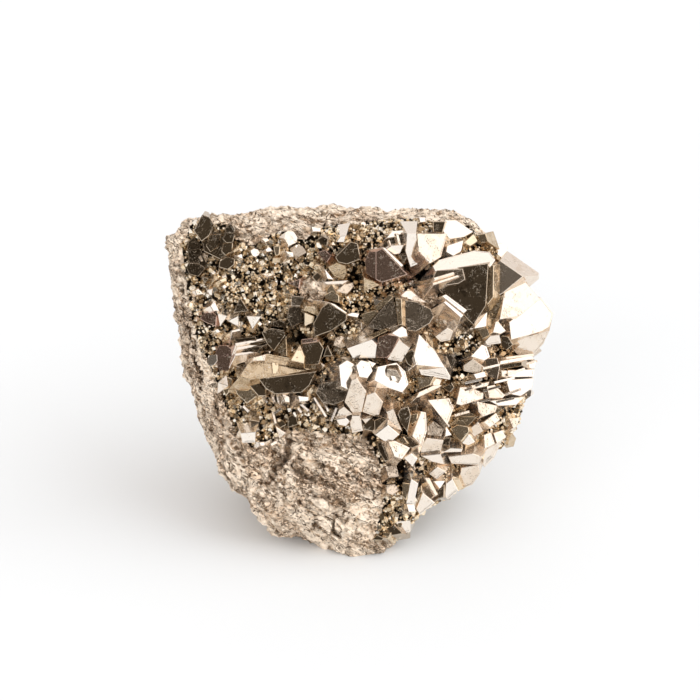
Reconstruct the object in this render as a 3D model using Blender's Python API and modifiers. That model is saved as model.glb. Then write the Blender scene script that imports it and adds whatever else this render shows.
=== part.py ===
"""A pyrite specimen: one loose piece of massive granular pyrite, with a crust of crystals on one side.

The rock is a block with its corners broken away along flat fractures, with rounded lumps at its foot
and in the crust.
The large crystals are told by the facets that they show, whose corners are laid out by hand on a flat
plan in front of the crust. They are dropped onto the rock along lines from one point and joined with
it. Small octahedra and cubes with cut corners stand between them.
Everything is one natural piece, so the specimen is one solid that rests on a flat fracture.

Units are metres, +Z is up, +X runs to the right of the crust and the crust faces -Y and a little up.
"""

import math
import random

import bmesh
import bpy
from mathutils import Matrix, Vector
from mathutils.bvhtree import BVHTree
from mathutils.geometry import intersect_line_plane

MM = 0.001

# The plan: a flat sheet that leans back with the crust. u runs right, v up the sheet and w out of it.
PLAN_LEAN = math.radians(28)
PLAN_MIDDLE = Vector((0, -0.8, 31)) * MM
LAYOUT_DISTANCE = 394 * MM

ROCK_VOXEL = 2.1 * MM
ROCK_TRIANGLES = 1800
LUMP_NOISE = 9 * MM
LUMP_HEIGHT = 3.0 * MM
GRAIN_NOISE = 4.5 * MM
GRAIN_HEIGHT = 1.5 * MM
NOISE_LEVEL = 0.35
BLOCK_SIDE = 130 * MM
# Past the rock's rim, a crystal is set on the rock nearest to this height on the plan, in millimetres.
RIM_HEIGHT = -4

PYRITE_COLOUR = (0.62, 0.52, 0.40, 1)
PYRITE_ROUGHNESS = 0.35
PYRITE_METALLIC = 0.9

# Fractures that shape the block, in plan millimetres: a point on each and the way that it faces.
PLAN_FRACTURES = (
    ((-12, 10, 3.6), (-0.10, 0.02, 1.0)),  # the crust, left of its middle
    ((18, 8, 2.2), (0.30, -0.02, 1.0)),  # the crust, right of its middle
    ((33.5, 10, -3), (1.0, -0.05, 0.55)),  # the crust, where it turns the right corner
    ((36.0, 5, -15), (1.0, -0.10, -0.20)),  # the right end
    ((30, 22, -5), (0.80, 0.60, 0.15)),  # the upper right corner
    ((0, 31.0, 2.0), (0.02, 0.88, 0.47)),  # the top
    ((-39.3, 31.3, -4), (-0.75, 0.55, 0.30)),  # the upper left corner
    ((-38.9, 25.5, 1), (-0.90, -0.27, 0.36)),  # the bare left side
    ((-44.0, 25.3, -12), (-0.80, -0.31, -0.60)),  # the left side, turning to the back
    ((-19, -25, -3), (-0.633, -0.774, -0.15)),  # the lower left
    ((20.3, -19.5, -4), (0.63, -0.78, -0.10)),  # the lower right
    ((32.5, -4, -6), (1.0, -0.35, 0.0)),  # the right side under its corner
    ((0, -22, 6.0), (0.05, -0.50, 0.85)),  # the foot, under the crust
)
# Fractures of the back and the underside, in millimetres of the specimen's own frame.
BACK_FRACTURES = (
    ((0, 0, -1.6), (0, 0, -1)),  # the underside
    ((0, 23.5, 40), (0.05, 1, 0.10)),  # the back
    ((14, 21, 30), (0.55, 0.80, -0.15)),  # the back, right
    ((-16, 22, 40), (-0.42, 0.88, -0.10)),  # the back, left
    ((2, 22, 16), (0.05, 0.85, -0.52)),  # the back, low down
    ((0, 23, 59), (0, 0.62, 0.78)),  # the back of the top
)
# Rounded lumps of bare rock, in plan millimetres: the middle and the half sizes.
LUMPS = (
    ((-6.5, -19.5, 0.0), (13.5, 10.0, 8.5)),
    ((-20.0, -15.5, -2.0), (8.0, 6.0, 7.0)),
    ((-8.0, -26.0, -2.0), (12.0, 5.5, 7.5)),
    ((-1.0, -31.0, -3.5), (9.0, 5.0, 6.0)),
    ((13.4, 17.2, 4.4), (3.4, 2.0, 2.6)),
    ((17.2, 12.9, 3.2), (2.8, 2.8, 2.6)),
    ((-9.6, 18.4, 4.2), (3.6, 2.4, 2.6)),
)
# Hollows in the rock, in plan millimetres: the place, the radius and the depth. They are pressed into
# the rock's front, down to this far under the plan.
HOLLOW_REACH = 12 * MM
HOLLOWS = (
    (11.5, 21.0, 3.6, 5.0),
    (1.2, -12.2, 2.6, 3.6),
    (-15.0, -13.6, 1.8, 2.6),
    (-15.3, -16.4, 1.8, 3.0),
    (-16.2, -18.8, 1.8, 2.2),
    (-11.8, -18.4, 2.2, 1.8),
    (-6.0, -24.6, 2.4, 1.6),
    (-0.6, 21.5, 2.4, 3.0),
    (19.8, 3.0, 2.4, 3.5),
    (-32.3, 0.6, 2.0, 2.4),
    (-13.5, 8.2, 2.2, 3.0),
    (9.0, -18.5, 2.6, 3.0),
)

# The large crystals, each told by the facet that it shows: how the facet faces, how far it stands off
# the rock in millimetres, and its corners in plan millimetres. They are grouped by finish.
LARGE_CRYSTALS = (
    # silver ones
    ("down", 1.8, (-28.8, 13.6), (-26.9, 13.1), (-28.3, 11.0)),
    ("down", 1.8, (-26.8, 12.2), (-24.7, 13.2), (-24.5, 10.8)),
    ("down", 2.0, (-23.0, 13.1), (-20.0, 13.0), (-21.8, 10.4)),
    ("right", 1.3, (-33.4, 18.3), (-32.8, 18.8), (-31.5, 17.6), (-33.1, 17.4)),
    ("down", 1.2, (-31.0, 18.4), (-29.9, 18.6), (-29.9, 17.3), (-30.6, 17.5)),
    ("right", 1.5, (-29.5, 16.4), (-28.5, 14.2), (-29.7, 14.2), (-30.3, 15.1)),
    ("right", 1.2, (-29.4, 10.3), (-28.8, 10.6), (-28.2, 10.0), (-28.9, 9.7)),
    ("right", 1.2, (-25.0, 25.4), (-23.9, 25.8), (-23.7, 24.8)),
    ("right", 1.2, (-19.2, 26.6), (-18.4, 27.2), (-17.5, 26.4), (-18.9, 26.2)),
    ("right", 1.2, (-19.9, 28.9), (-18.7, 29.0), (-18.3, 28.4), (-19.1, 28.1)),
    ("right", 1.4, (-15.2, 26.4), (-13.5, 26.1), (-13.4, 25.2), (-14.4, 25.2)),
    ("rise", 1.2, (-19.8, 21.8), (-18.2, 21.9), (-17.3, 21.6), (-18.7, 21.0)),
    ("right", 1.2, (-18.4, 15.6), (-16.9, 15.5), (-17.6, 14.9)),
    ("right", 1.2, (-27.9, 19.2), (-27.4, 19.6), (-26.9, 19.1), (-27.5, 18.6)),
    ("right", 1.6, (-9.9, 31.3), (-7.9, 31.0), (-8.0, 30.2), (-9.6, 30.3)),
    ("down", 1.8, (-4.8, 28.1), (-4.0, 29.3), (-2.8, 29.5), (-3.2, 28.1)),
    ("right", 2.0, (-7.2, 22.8), (-5.3, 20.5), (-6.6, 20.8)),
    ("up", 2.2, (-7.4, 20.1), (-2.4, 20.4), (-3.5, 19.7), (-6.8, 19.6)),
    ("right", 2.7, (5.7, 28.4), (6.0, 28.7), (6.5, 27.3), (6.1, 27.2)),
    ("right", 2.7, (7.2, 29.9), (7.8, 29.9), (8.4, 27.5), (7.8, 27.4)),
    ("right", 2.7, (8.9, 30.1), (9.5, 30.1), (9.8, 27.8), (9.4, 27.7)),
    ("rise", 2.6, (5.4, 29.0), (6.6, 30.4), (9.6, 30.6), (9.3, 29.8), (6.6, 29.2)),
    ("down", 2.2, (5.2, 26.7), (6.3, 27.4), (8.8, 27.5), (8.1, 25.8), (7.0, 25.6)),
    ("rise", 3.9, (4.4, 27.1), (5.1, 27.0), (8.8, 23.5), (8.3, 23.1)),
    ("down", 2.6, (9.6, 29.9), (11.3, 29.9), (12.8, 24.1), (10.2, 23.0), (9.2, 26.2)),
    ("right", 3.4, (11.5, 29.9), (17.7, 29.8), (16.4, 25.1), (14.2, 23.8), (11.8, 26.4)),
    ("right", 1.8, (11.9, 33.2), (13.3, 33.2), (13.2, 32.2), (12.2, 32.1)),
    ("rise", 2.0, (17.3, 32.6), (19.5, 32.6), (23.0, 30.2), (21.3, 29.3), (18.2, 28.8), (16.9, 30.2)),
    ("right", 2.6, (17.7, 27.4), (21.0, 28.5), (20.5, 26.3), (19.0, 25.4), (17.5, 26.2)),
    ("rise", 1.8, (27.6, 27.8), (29.1, 28.0), (30.0, 27.2), (29.6, 25.3), (27.6, 25.0), (25.9, 26.7)),
    ("up", 4.3, (14.7, 23.3), (16.0, 24.6), (23.3, 26.5), (26.2, 26.2), (27.4, 24.6), (26.5, 23.3),
     (15.2, 22.2)),
    ("rise", 4.4, (16.6, 17.2), (17.4, 17.6), (21.7, 14.4), (21.0, 13.7)),
    ("rise", 4.0, (16.9, 15.9), (17.4, 16.3), (21.0, 13.4), (20.4, 12.8)),
    ("right", 3.6, (24.6, 14.6), (25.9, 14.9), (25.6, 11.1), (22.3, 10.5)),
    ("rise", 1.6, (8.1, 17.2), (9.3, 18.3), (10.4, 18.3), (13.4, 16.0), (11.3, 16.1)),
    ("right", 2.4, (-2.9, 13.4), (-1.4, 13.9), (-0.1, 13.7), (-0.4, 12.9)),
    ("rise", 3.9, (-6.5, 16.0), (-5.1, 15.6), (-2.6, 13.9), (-2.8, 13.4)),
    ("rise", 3.9, (-21.6, 4.8), (-18.9, 5.5), (-19.2, 4.2), (-21.8, 4.1)),
    ("up", 2.6, (-26.2, 10.2), (-24.4, 10.7), (-24.2, 10.3), (-26.0, 9.9)),
    ("up", 2.7, (-25.3, 7.7), (-19.2, 8.8), (-19.0, 8.4), (-25.2, 7.2)),
    ("up", 2.8, (-25.0, 6.9), (-19.2, 7.8), (-19.2, 7.4), (-25.0, 6.4)),
    ("up", 2.8, (-25.3, 5.6), (-21.4, 6.1), (-20.6, 5.8), (-25.3, 5.1)),
    ("down", 3.6, (-2.6, 6.6), (2.4, 8.4), (3.4, 7.3), (3.1, 4.7), (-1.4, 4.6)),
    ("right", 3.8, (6.5, 9.7), (8.5, 11.1), (9.4, 10.5), (9.7, 9.1), (8.0, 8.9)),
    ("down", 3.6, (4.6, 10.4), (5.0, 11.2), (8.3, 11.3), (6.4, 9.9)),
    ("down", 3.4, (7.9, 8.3), (10.1, 6.7), (8.4, 3.9), (5.6, 4.4)),
    ("right", 4.2, (-4.3, 3.1), (-2.6, 4.2), (-1.2, 3.4), (-2.4, -1.7), (-3.9, -1.0)),
    ("right", 4.0, (-0.8, 3.1), (0.2, 4.2), (2.0, 3.8), (2.6, 2.0), (1.6, 0.6), (-0.2, 0.9)),
    ("right", 3.8, (1.6, 4.2), (3.4, 3.6), (2.5, 2.7)),
    ("down", 4.6, (-1.6, 0.2), (-0.7, 0.6), (1.3, -2.2), (0.4, -6.3), (-1.4, -6.6), (-3.1, -4.3)),
    ("down", 4.4, (1.4, -2.8), (3.0, -2.3), (4.7, -4.3), (3.7, -7.5), (0.5, -6.3)),
    ("right", 3.4, (3.6, 2.9), (7.4, 3.8), (9.2, 2.0), (9.9, -0.7), (8.6, -2.3), (5.9, -1.4), (2.9, 0.2)),
    ("right", 3.9, (6.1, 1.2), (7.2, 1.0), (7.6, 0.0), (6.5, 0.1)),
    ("right", 4.2, (12.0, 9.5), (15.3, 6.1), (17.3, 2.7), (11.3, 3.3), (10.9, 5.0)),
    ("down", 4.0, (11.4, 3.2), (17.3, 2.7), (18.3, 0.9), (18.2, 0.2), (12.4, 1.2)),
    ("down", 2.8, (15.2, 9.0), (17.6, 10.8), (18.9, 10.1), (18.2, 8.2), (16.3, 7.9)),
    ("rise", 3.2, (11.3, -3.5), (12.0, -2.2), (15.7, -0.5), (16.6, -0.9), (15.8, -1.4)),
    ("right", 2.8, (14.5, 0.7), (16.7, 0.4), (16.2, -0.8), (14.8, -1.0)),
    ("right", 2.6, (-8.0, 3.8), (-7.0, 3.2), (-7.6, 2.6)),
    ("right", 2.6, (-15.9, -2.4), (-14.3, -3.2), (-14.2, -4.3), (-15.2, -4.2)),
    ("right", 2.6, (-12.6, -3.0), (-10.3, -3.2), (-10.5, -4.0), (-12.3, -4.1)),
    ("down", 1.9, (-24.2, -10.6), (-21.1, -10.3), (-21.2, -12.5), (-23.8, -12.6)),
    ("down", 1.8, (-17.1, -9.3), (-15.0, -10.6), (-16.4, -11.8)),
    ("right", 1.2, (-20.5, -12.4), (-19.3, -12.3), (-19.2, -13.0), (-20.2, -13.2)),
    ("right", 1.2, (-18.2, -12.7), (-16.9, -12.0), (-16.6, -12.6), (-17.9, -13.3)),
    ("down", 3.6, (-1.5, -7.0), (0.0, -7.0), (0.7, -10.1), (-1.6, -10.6), (-2.0, -8.6)),
    ("down", 3.0, (-4.8, -7.8), (-2.9, -7.5), (-2.0, -8.2), (-2.8, -9.2), (-4.3, -8.9)),
    ("down", 3.2, (-4.8, -7.2), (-4.2, -5.8), (-3.3, -5.2), (-1.5, -6.7), (-3.4, -7.5)),
    ("down", 3.2, (0.3, -7.7), (2.4, -7.5), (1.1, -8.7)),
    ("down", 4.0, (3.0, -10.9), (5.6, -8.9), (8.0, -10.9), (6.4, -12.3), (4.8, -12.2)),
    ("down", 3.6, (5.4, -6.2), (6.7, -5.7), (8.6, -10.2), (7.4, -10.0), (5.8, -7.8)),
    ("right", 3.8, (12.4, -6.1), (13.4, -6.3), (13.6, -10.0), (12.7, -13.1), (10.6, -11.1)),
    ("right", 3.8, (5.7, -12.3), (7.2, -12.1), (10.2, -13.5), (8.5, -15.8), (6.9, -15.2)),
    ("down", 3.0, (8.8, -15.6), (10.3, -14.7), (11.7, -15.8), (10.7, -17.4)),
    ("down", 3.2, (12.2, -13.6), (13.5, -11.6), (16.9, -12.0), (16.2, -14.7), (12.5, -15.2)),
    ("down", 2.8, (12.4, -15.2), (16.3, -14.8), (17.0, -16.9), (14.6, -16.4)),
    ("right", 3.8, (13.8, -3.9), (18.1, -3.5), (19.0, -5.4), (17.7, -8.9)),
    ("right", 3.0, (17.5, -9.2), (18.6, -10.9), (17.2, -11.2)),
    ("down", 3.2, (22.0, -9.8), (23.9, -8.3), (24.9, -10.2), (23.2, -11.3)),
    ("down", 3.2, (22.0, -10.8), (23.3, -12.4), (22.0, -13.1), (20.6, -12.6)),
    ("down", 2.6, (16.5, -14.5), (18.3, -13.6), (20.8, -13.7), (20.6, -14.4)),
    ("down", 2.8, (17.9, -15.4), (22.8, -14.7), (24.8, -15.4), (23.9, -17.0), (18.6, -16.8)),
    ("down", 2.6, (20.6, -17.6), (23.9, -17.0), (24.3, -18.8), (22.8, -21.0), (21.0, -21.8),
     (20.0, -19.8)),
    ("down", 2.4, (23.7, -14.1), (25.2, -13.2), (28.8, -12.0), (27.2, -15.6), (25.2, -17.6)),
    ("down", 2.8, (13.9, -18.8), (15.6, -17.4), (17.4, -18.4), (15.5, -20.0)),
    ("down", 3.0, (10.4, -19.9), (11.8, -20.8), (10.9, -25.0), (9.4, -24.9)),
    ("right", 2.6, (9.5, -25.0), (10.9, -25.0), (11.3, -26.4), (9.9, -26.5)),
    ("down", 2.8, (12.7, -22.7), (15.2, -24.7), (12.2, -27.2), (11.4, -26.0)),
    ("right", 2.8, (13.1, -19.6), (14.1, -19.6), (15.8, -23.0), (15.2, -23.2)),
    ("right", 2.6, (15.0, -20.3), (17.3, -20.2), (16.2, -21.8)),
    ("down", 2.2, (17.4, -20.8), (18.7, -19.8), (19.9, -22.2), (17.8, -24.0), (17.2, -23.4)),
    ("down", 1.8, (7.0, -28.5), (10.2, -28.2), (10.2, -30.6), (8.6, -31.0)),
    ("right", 3.0, (29.2, 17.8), (32.9, 20.8), (36.5, 16.6), (32.4, 13.2), (28.3, 12.5)),
    ("right", 3.3, (32.3, 13.6), (36.6, 17.0), (39.2, 13.6), (38.2, 10.4), (30.6, 8.4), (30.2, 11.9)),
    ("down", 2.8, (30.9, 8.2), (38.4, 10.2), (37.2, 7.6), (35.2, 5.3), (32.6, 4.6), (30.1, 7.2)),
    ("right", 3.4, (27.6, 12.6), (29.6, 10.2), (28.6, 9.6), (26.9, 9.9)),
    ("down", 3.0, (25.3, 8.0), (26.3, 9.1), (28.2, 9.3), (28.6, 7.6), (25.7, 7.2)),
    ("right", 3.2, (22.5, 5.0), (24.7, 7.4), (25.7, 7.0), (26.4, 4.9), (25.3, 4.2)),
    ("right", 3.0, (28.3, 3.3), (28.4, 4.1), (34.9, 5.2), (35.2, 4.5)),
    ("right", 2.8, (32.4, 3.3), (35.7, 4.1), (35.5, 2.7), (32.2, 2.4)),
    ("right", 3.0, (29.9, 2.2), (35.4, 2.4), (35.2, 0.9), (30.0, 0.8)),
    ("right", 2.9, (28.6, 2.2), (29.8, 2.1), (30.0, 0.6), (28.7, 0.9)),
    ("right", 3.1, (29.6, 0.2), (35.2, 0.6), (34.9, -1.4), (32.6, -3.0), (30.4, -2.6)),
    ("right", 2.6, (23.0, 1.4), (25.3, 2.0), (25.6, 0.9), (23.5, 0.4)),
    ("right", 3.2, (22.5, -0.9), (26.3, -0.1), (25.9, -1.0), (22.8, -1.6)),
    ("right", 3.2, (20.3, -1.2), (22.2, -1.2), (25.1, -2.4), (25.0, -3.6), (20.6, -4.9), (19.5, -4.6)),
    ("right", 3.2, (25.7, -1.1), (27.3, -0.8), (29.4, -2.9), (28.9, -3.4), (26.2, -3.4)),
    ("right", 2.8, (26.4, -4.0), (30.2, -3.5), (33.4, -3.2), (31.7, -4.8), (28.1, -5.0)),
    ("right", 3.2, (23.6, -4.1), (27.8, -5.0), (27.5, -6.2), (25.0, -7.2), (24.0, -6.2)),
    ("right", 2.6, (25.1, -8.3), (27.6, -6.4), (28.4, -7.8), (26.4, -9.4)),
    ("right", 1.8, (30.2, -7.6), (32.4, -7.3), (31.8, -9.2), (31.0, -9.6)),
    ("right", 2.2, (27.0, -10.6), (28.9, -9.9), (29.6, -11.4), (27.7, -12.7)),
    ("right", 2.4, (25.1, -10.9), (26.6, -10.4), (27.4, -12.7), (25.2, -13.7)),
    # smoky ones
    ("viewer", 1.5, (-32.0, 33.7), (-30.5, 33.2), (-29.6, 31.8), (-30.5, 29.6), (-32.1, 28.3),
     (-33.7, 30.5)),
    ("viewer", 1.4, (-34.8, 28.2), (-33.8, 29.0), (-32.4, 27.9), (-32.4, 26.9), (-33.5, 26.0),
     (-35.0, 26.7)),
    ("viewer", 1.4, (-34.8, 23.9), (-33.0, 23.9), (-31.3, 22.9), (-32.8, 21.2), (-34.6, 21.7),
     (-35.2, 23.0)),
    ("viewer", 1.6, (-30.5, 29.7), (-28.1, 29.8), (-28.7, 27.2), (-30.3, 26.1), (-31.2, 27.4)),
    ("viewer", 2.2, (-27.3, 31.0), (-26.2, 31.9), (-25.4, 30.9), (-25.5, 30.0), (-27.2, 30.0)),
    ("viewer", 2.0, (-27.3, 29.8), (-25.3, 29.8), (-25.8, 28.1), (-27.1, 28.0), (-27.8, 28.8)),
    ("viewer", 1.6, (-27.7, 27.9), (-25.8, 28.0), (-25.9, 26.5), (-27.2, 25.4), (-28.1, 26.3)),
    ("viewer", 1.5, (-28.4, 24.3), (-27.0, 25.2), (-25.4, 24.7), (-25.5, 23.6), (-26.8, 22.6),
     (-28.6, 23.1)),
    ("viewer", 2.0, (-24.3, 16.9), (-22.6, 14.2), (-25.6, 13.9)),
    ("left", 1.8, (-8.5, 28.8), (-7.6, 29.4), (-6.5, 28.8), (-6.7, 27.4), (-8.1, 27.6)),
    ("viewer", 2.8, (-5.0, 25.1), (-1.9, 28.2), (-0.5, 27.8), (0.1, 24.7), (-2.7, 23.7), (-4.4, 24.1)),
    ("viewer", 1.6, (-8.6, 22.1), (-7.7, 21.1), (-8.9, 20.1), (-9.7, 21.1)),
    ("viewer", 2.3, (4.3, 27.1), (5.8, 29.2), (9.2, 30.0), (9.5, 27.8), (8.7, 27.4)),
    ("viewer", 1.6, (14.9, 32.3), (17.3, 32.3), (16.7, 30.0), (14.8, 30.2)),
    ("viewer", 4.6, (14.4, 20.2), (15.2, 22.4), (26.0, 23.8), (25.5, 15.3), (23.0, 11.4)),
    ("viewer", 4.0, (20.2, 12.7), (22.6, 13.6), (23.0, 11.4), (22.2, 10.4)),
    ("left", 3.8, (27.2, 23.4), (28.4, 24.4), (33.0, 21.2), (28.9, 17.8), (27.1, 16.8)),
    ("left", 2.6, (29.4, 25.6), (30.0, 25.6), (31.6, 23.4), (30.6, 22.9), (29.3, 23.4)),
    ("viewer", 3.8, (-7.7, 14.9), (-6.4, 15.8), (-2.7, 13.5), (-2.8, 12.3), (-5.9, 10.2), (-9.2, 9.0),
     (-9.4, 11.6)),
    ("viewer", 2.6, (-19.9, 9.9), (-18.0, 10.7), (-15.4, 10.2), (-15.1, 9.4), (-17.5, 6.1),
     (-18.8, 7.6)),
    ("viewer", 2.0, (-18.2, 11.2), (-17.8, 11.9), (-16.6, 12.3), (-15.2, 12.0), (-15.1, 10.8)),
    ("viewer", 2.5, (-25.4, 8.5), (-21.2, 9.0), (-21.0, 8.4), (-25.0, 7.8)),
    ("viewer", 2.5, (-22.4, 7.7), (-18.9, 8.3), (-19.0, 7.8), (-22.2, 7.2)),
    ("left", 2.5, (-24.8, 6.4), (-19.5, 7.2), (-20.6, 6.2), (-24.8, 5.6)),
    ("viewer", 4.4, (-20.5, 0.4), (-9.0, 1.9), (-10.3, -0.9), (-11.9, -2.3), (-17.2, -2.6),
     (-19.0, -1.6)),
    ("viewer", 4.2, (-22.4, -0.2), (-21.4, 0.4), (-19.2, -1.8), (-19.0, -3.0), (-20.6, -3.0),
     (-22.3, -1.0)),
    ("left", 2.6, (-12.0, 8.2), (-8.6, 8.5), (-7.4, 6.6), (-8.4, 3.4), (-11.3, 3.2)),
    ("viewer", 2.4, (-6.6, 7.3), (-5.6, 5.1), (-7.4, 5.0)),
    ("viewer", 1.9, (-16.8, -8.6), (-15.7, -7.9), (-14.9, -8.8), (-16.2, -9.5)),
    ("viewer", 2.0, (-14.6, -7.3), (-13.0, -6.6), (-12.6, -8.8), (-14.6, -9.4)),
    ("viewer", 3.0, (8.8, 5.3), (10.5, 6.5), (10.9, 6.0), (10.5, 2.9), (9.6, 3.5)),
    ("viewer", 3.2, (2.9, -8.0), (4.6, -7.3), (5.9, -7.9), (5.3, -9.0), (3.0, -10.2)),
    ("viewer", 2.8, (0.6, -8.9), (2.7, -7.6), (2.9, -10.2), (0.8, -9.8)),
    ("viewer", 4.0, (7.7, -6.6), (8.3, -5.6), (9.8, -5.2), (10.3, -7.0), (9.6, -10.3), (8.3, -8.4)),
    ("viewer", 3.2, (8.3, -10.8), (9.2, -10.9), (11.8, -13.1), (10.6, -13.6), (8.6, -12.4)),
    ("viewer", 2.6, (17.2, -11.5), (18.5, -11.5), (18.0, -13.0), (16.7, -13.0)),
    ("viewer", 2.0, (3.6, -12.4), (5.3, -12.5), (6.6, -15.5), (5.1, -16.3), (3.8, -14.2)),
    ("viewer", 1.9, (6.9, -29.1), (8.7, -30.9), (6.5, -31.3), (5.3, -29.9)),
    ("left", 1.5, (2.3, -32.2), (3.4, -31.2), (4.8, -31.8), (4.5, -32.3)),
    ("left", 3.2, (28.7, 9.2), (30.0, 9.0), (31.0, 7.4), (29.6, 6.2), (28.5, 7.4)),
    ("left", 2.8, (27.8, 3.2), (32.8, 3.9), (32.9, 3.1), (27.9, 2.2)),
    ("viewer", 2.4, (15.5, -22.1), (17.1, -21.0), (17.0, -23.6), (16.0, -23.8)),
    ("viewer", 2.4, (16.7, -1.3), (18.5, -0.3), (19.1, -1.3), (18.2, -2.3)),
    ("viewer", 1.8, (-25.0, 4.5), (-22.9, 4.9), (-23.6, 3.4), (-25.0, 3.1)),
    # etched ones
    ("right", 1.5, (-32.8, 25.1), (-31.5, 26.1), (-30.7, 25.5), (-31.0, 24.4), (-32.2, 24.2)),
    ("right", 1.8, (-4.7, 18.3), (-3.4, 19.5), (-1.3, 20.0), (-1.1, 19.2), (-2.5, 17.7), (-3.8, 17.9)),
    ("viewer", 2.0, (-14.4, 14.8), (-12.1, 15.5), (-11.7, 11.9), (-13.7, 11.0), (-14.8, 12.8)),
    ("viewer", 1.9, (-13.9, 17.3), (-11.2, 17.0), (-12.1, 15.2), (-13.9, 15.2)),
    ("viewer", 3.8, (6.6, 17.2), (8.0, 12.0), (6.3, 11.0), (4.4, 10.3), (1.5, 11.0)),
    ("viewer", 3.9, (8.9, 16.4), (11.5, 16.0), (14.3, 14.6), (14.9, 13.1), (14.1, 11.7), (11.3, 10.1),
     (9.6, 10.3), (8.5, 13.0)),
    ("viewer", 4.8, (14.6, 20.6), (15.5, 22.4), (20.8, 22.7), (21.3, 20.6), (20.0, 19.8), (16.0, 19.2)),
    ("viewer", 2.8, (-8.9, -2.4), (-8.2, -0.6), (-4.5, 0.2), (-2.6, -2.1), (-3.2, -3.9), (-5.4, -4.8),
     (-7.6, -4.3)),
    ("viewer", 2.6, (16.4, 5.5), (18.4, 5.5), (19.4, 4.2), (18.4, 2.0), (17.3, 3.2)),
    ("down", 3.7, (5.6, 2.5), (7.4, 2.2), (8.3, 0.6), (7.6, -0.8), (6.1, -0.4), (5.2, 1.1)),
    ("right", 2.6, (13.7, -9.2), (15.0, -8.1), (17.0, -9.7), (16.5, -11.2), (13.7, -10.9)),
    ("left", 2.6, (25.3, 4.5), (27.8, 4.7), (28.3, 2.7), (27.8, 0.2), (25.6, 1.2)),
    ("down", 2.2, (21.0, 3.2), (22.8, 4.5), (25.3, 2.7), (23.8, 1.4), (21.0, 2.0)),
    ("right", 1.8, (5.3, -21.1), (7.1, -20.8), (8.1, -22.1), (6.6, -23.1), (5.3, -22.6)),
    ("right", 1.8, (5.1, -17.3), (7.4, -17.0), (7.9, -19.3), (5.8, -19.6)),
    # brassy ones
    ("up", 3.4, (-24.4, 0.9), (-22.9, 3.2), (-21.6, 4.9), (-18.8, 5.6), (-13.5, 4.6), (-9.2, 2.4),
     (-9.3, 1.9), (-22.3, 0.3)),
    ("rise", 3.7, (-17.9, 3.8), (-16.5, 3.8), (-16.4, 1.5), (-17.7, 1.4)),
    ("rise", 1.5, (-29.7, 21.3), (-28.8, 21.4), (-28.6, 20.7), (-29.7, 20.2)),
    ("rise", 1.5, (-28.6, 20.4), (-27.2, 21.1), (-27.0, 20.4), (-28.1, 20.0)),
    ("rise", 1.6, (-25.8, 26.3), (-24.4, 27.7), (-24.5, 26.7), (-25.4, 26.1)),
    ("down", 1.3, (-17.6, 24.9), (-16.0, 24.9), (-16.2, 24.0), (-17.8, 23.8)),
    ("viewer", 1.4, (-17.5, 27.2), (-16.2, 27.4), (-16.4, 25.6), (-17.1, 25.4)),
    ("down", 2.0, (-4.7, 24.0), (-6.5, 23.1), (-5.4, 21.3), (-3.4, 20.4), (-2.7, 21.8), (-2.9, 23.4)),
    ("down", 2.6, (0.8, 20.8), (2.8, 20.2), (4.0, 19.4), (0.8, 18.1)),
    ("rise", 1.9, (21.0, 28.0), (23.0, 29.8), (23.9, 28.4), (22.4, 27.4)),
    ("left", 2.1, (23.8, 29.6), (25.4, 29.9), (26.0, 28.2), (24.4, 28.0)),
    ("rise", 1.8, (25.6, 29.6), (27.7, 28.2), (26.6, 27.4), (25.8, 27.6)),
    ("down", 2.4, (-11.5, 14.3), (-11.0, 15.2), (-9.2, 15.0), (-7.9, 13.4), (-8.5, 13.2)),
    ("down", 2.2, (-11.2, 13.9), (-9.2, 13.0), (-9.4, 11.9), (-11.2, 11.0)),
    ("down", 2.0, (-12.1, 10.8), (-10.1, 10.7), (-10.3, 10.1), (-12.1, 10.1)),
    ("left", 2.8, (0.3, 13.5), (2.7, 14.3), (3.7, 14.1), (1.4, 11.1), (0.5, 12.1)),
    ("left", 3.6, (2.7, 14.8), (5.9, 17.5), (6.8, 17.1), (3.6, 14.1)),
    ("left", 4.1, (7.2, 16.8), (8.4, 16.6), (8.6, 11.4), (7.7, 11.4)),
    ("left", 5.1, (22.7, 23.2), (23.9, 23.2), (23.6, 14.2), (23.0, 13.8)),
    ("left", 4.4, (25.9, 23.7), (27.1, 23.4), (27.0, 17.0), (25.6, 15.2)),
    ("left", 2.6, (26.1, 15.2), (28.9, 17.4), (28.3, 13.4), (26.6, 9.6), (25.3, 10.0)),
    ("left", 2.6, (23.8, 10.6), (25.8, 10.6), (26.3, 9.3), (24.8, 8.6)),
    ("left", 2.8, (-25.5, -1.2), (-24.6, 0.1), (-22.8, 0.0), (-21.0, -3.1), (-22.9, -4.5),
     (-24.8, -2.8)),
    ("down", 3.0, (-25.0, 0.9), (-22.6, 1.5), (-22.5, 0.2), (-24.6, 0.2)),
    ("rise", 2.8, (-12.1, 7.5), (-11.2, 5.0), (-11.3, 3.6), (-14.0, 4.2)),
    ("left", 2.0, (-17.4, 5.9), (-15.0, 9.1), (-14.8, 5.0)),
    ("left", 1.4, (-27.9, 1.1), (-25.9, 0.4), (-25.9, -1.4), (-27.2, -3.0), (-28.2, -0.9)),
    ("left", 3.7, (-2.4, 7.0), (1.6, 9.2), (5.0, 10.6), (5.6, 10.2), (2.4, 8.6)),
    ("left", 2.6, (13.0, 9.5), (14.6, 8.6), (14.9, 6.3)),
    ("left", 2.8, (11.5, 0.8), (14.9, 0.7), (14.2, -0.8), (12.0, -1.7)),
    ("left", 3.2, (10.4, -6.8), (11.7, -6.6), (11.5, -8.1), (10.4, -8.8)),
    ("left", 3.0, (7.0, -12.0), (8.8, -11.3), (9.7, -12.6), (8.6, -12.9)),
    ("left", 3.4, (18.2, -9.7), (19.8, -8.9), (21.9, -9.3), (22.1, -10.2), (20.4, -12.3)),
    ("left", 3.0, (18.0, -8.9), (20.0, -7.2), (23.6, -7.3), (21.9, -9.1)),
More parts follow.
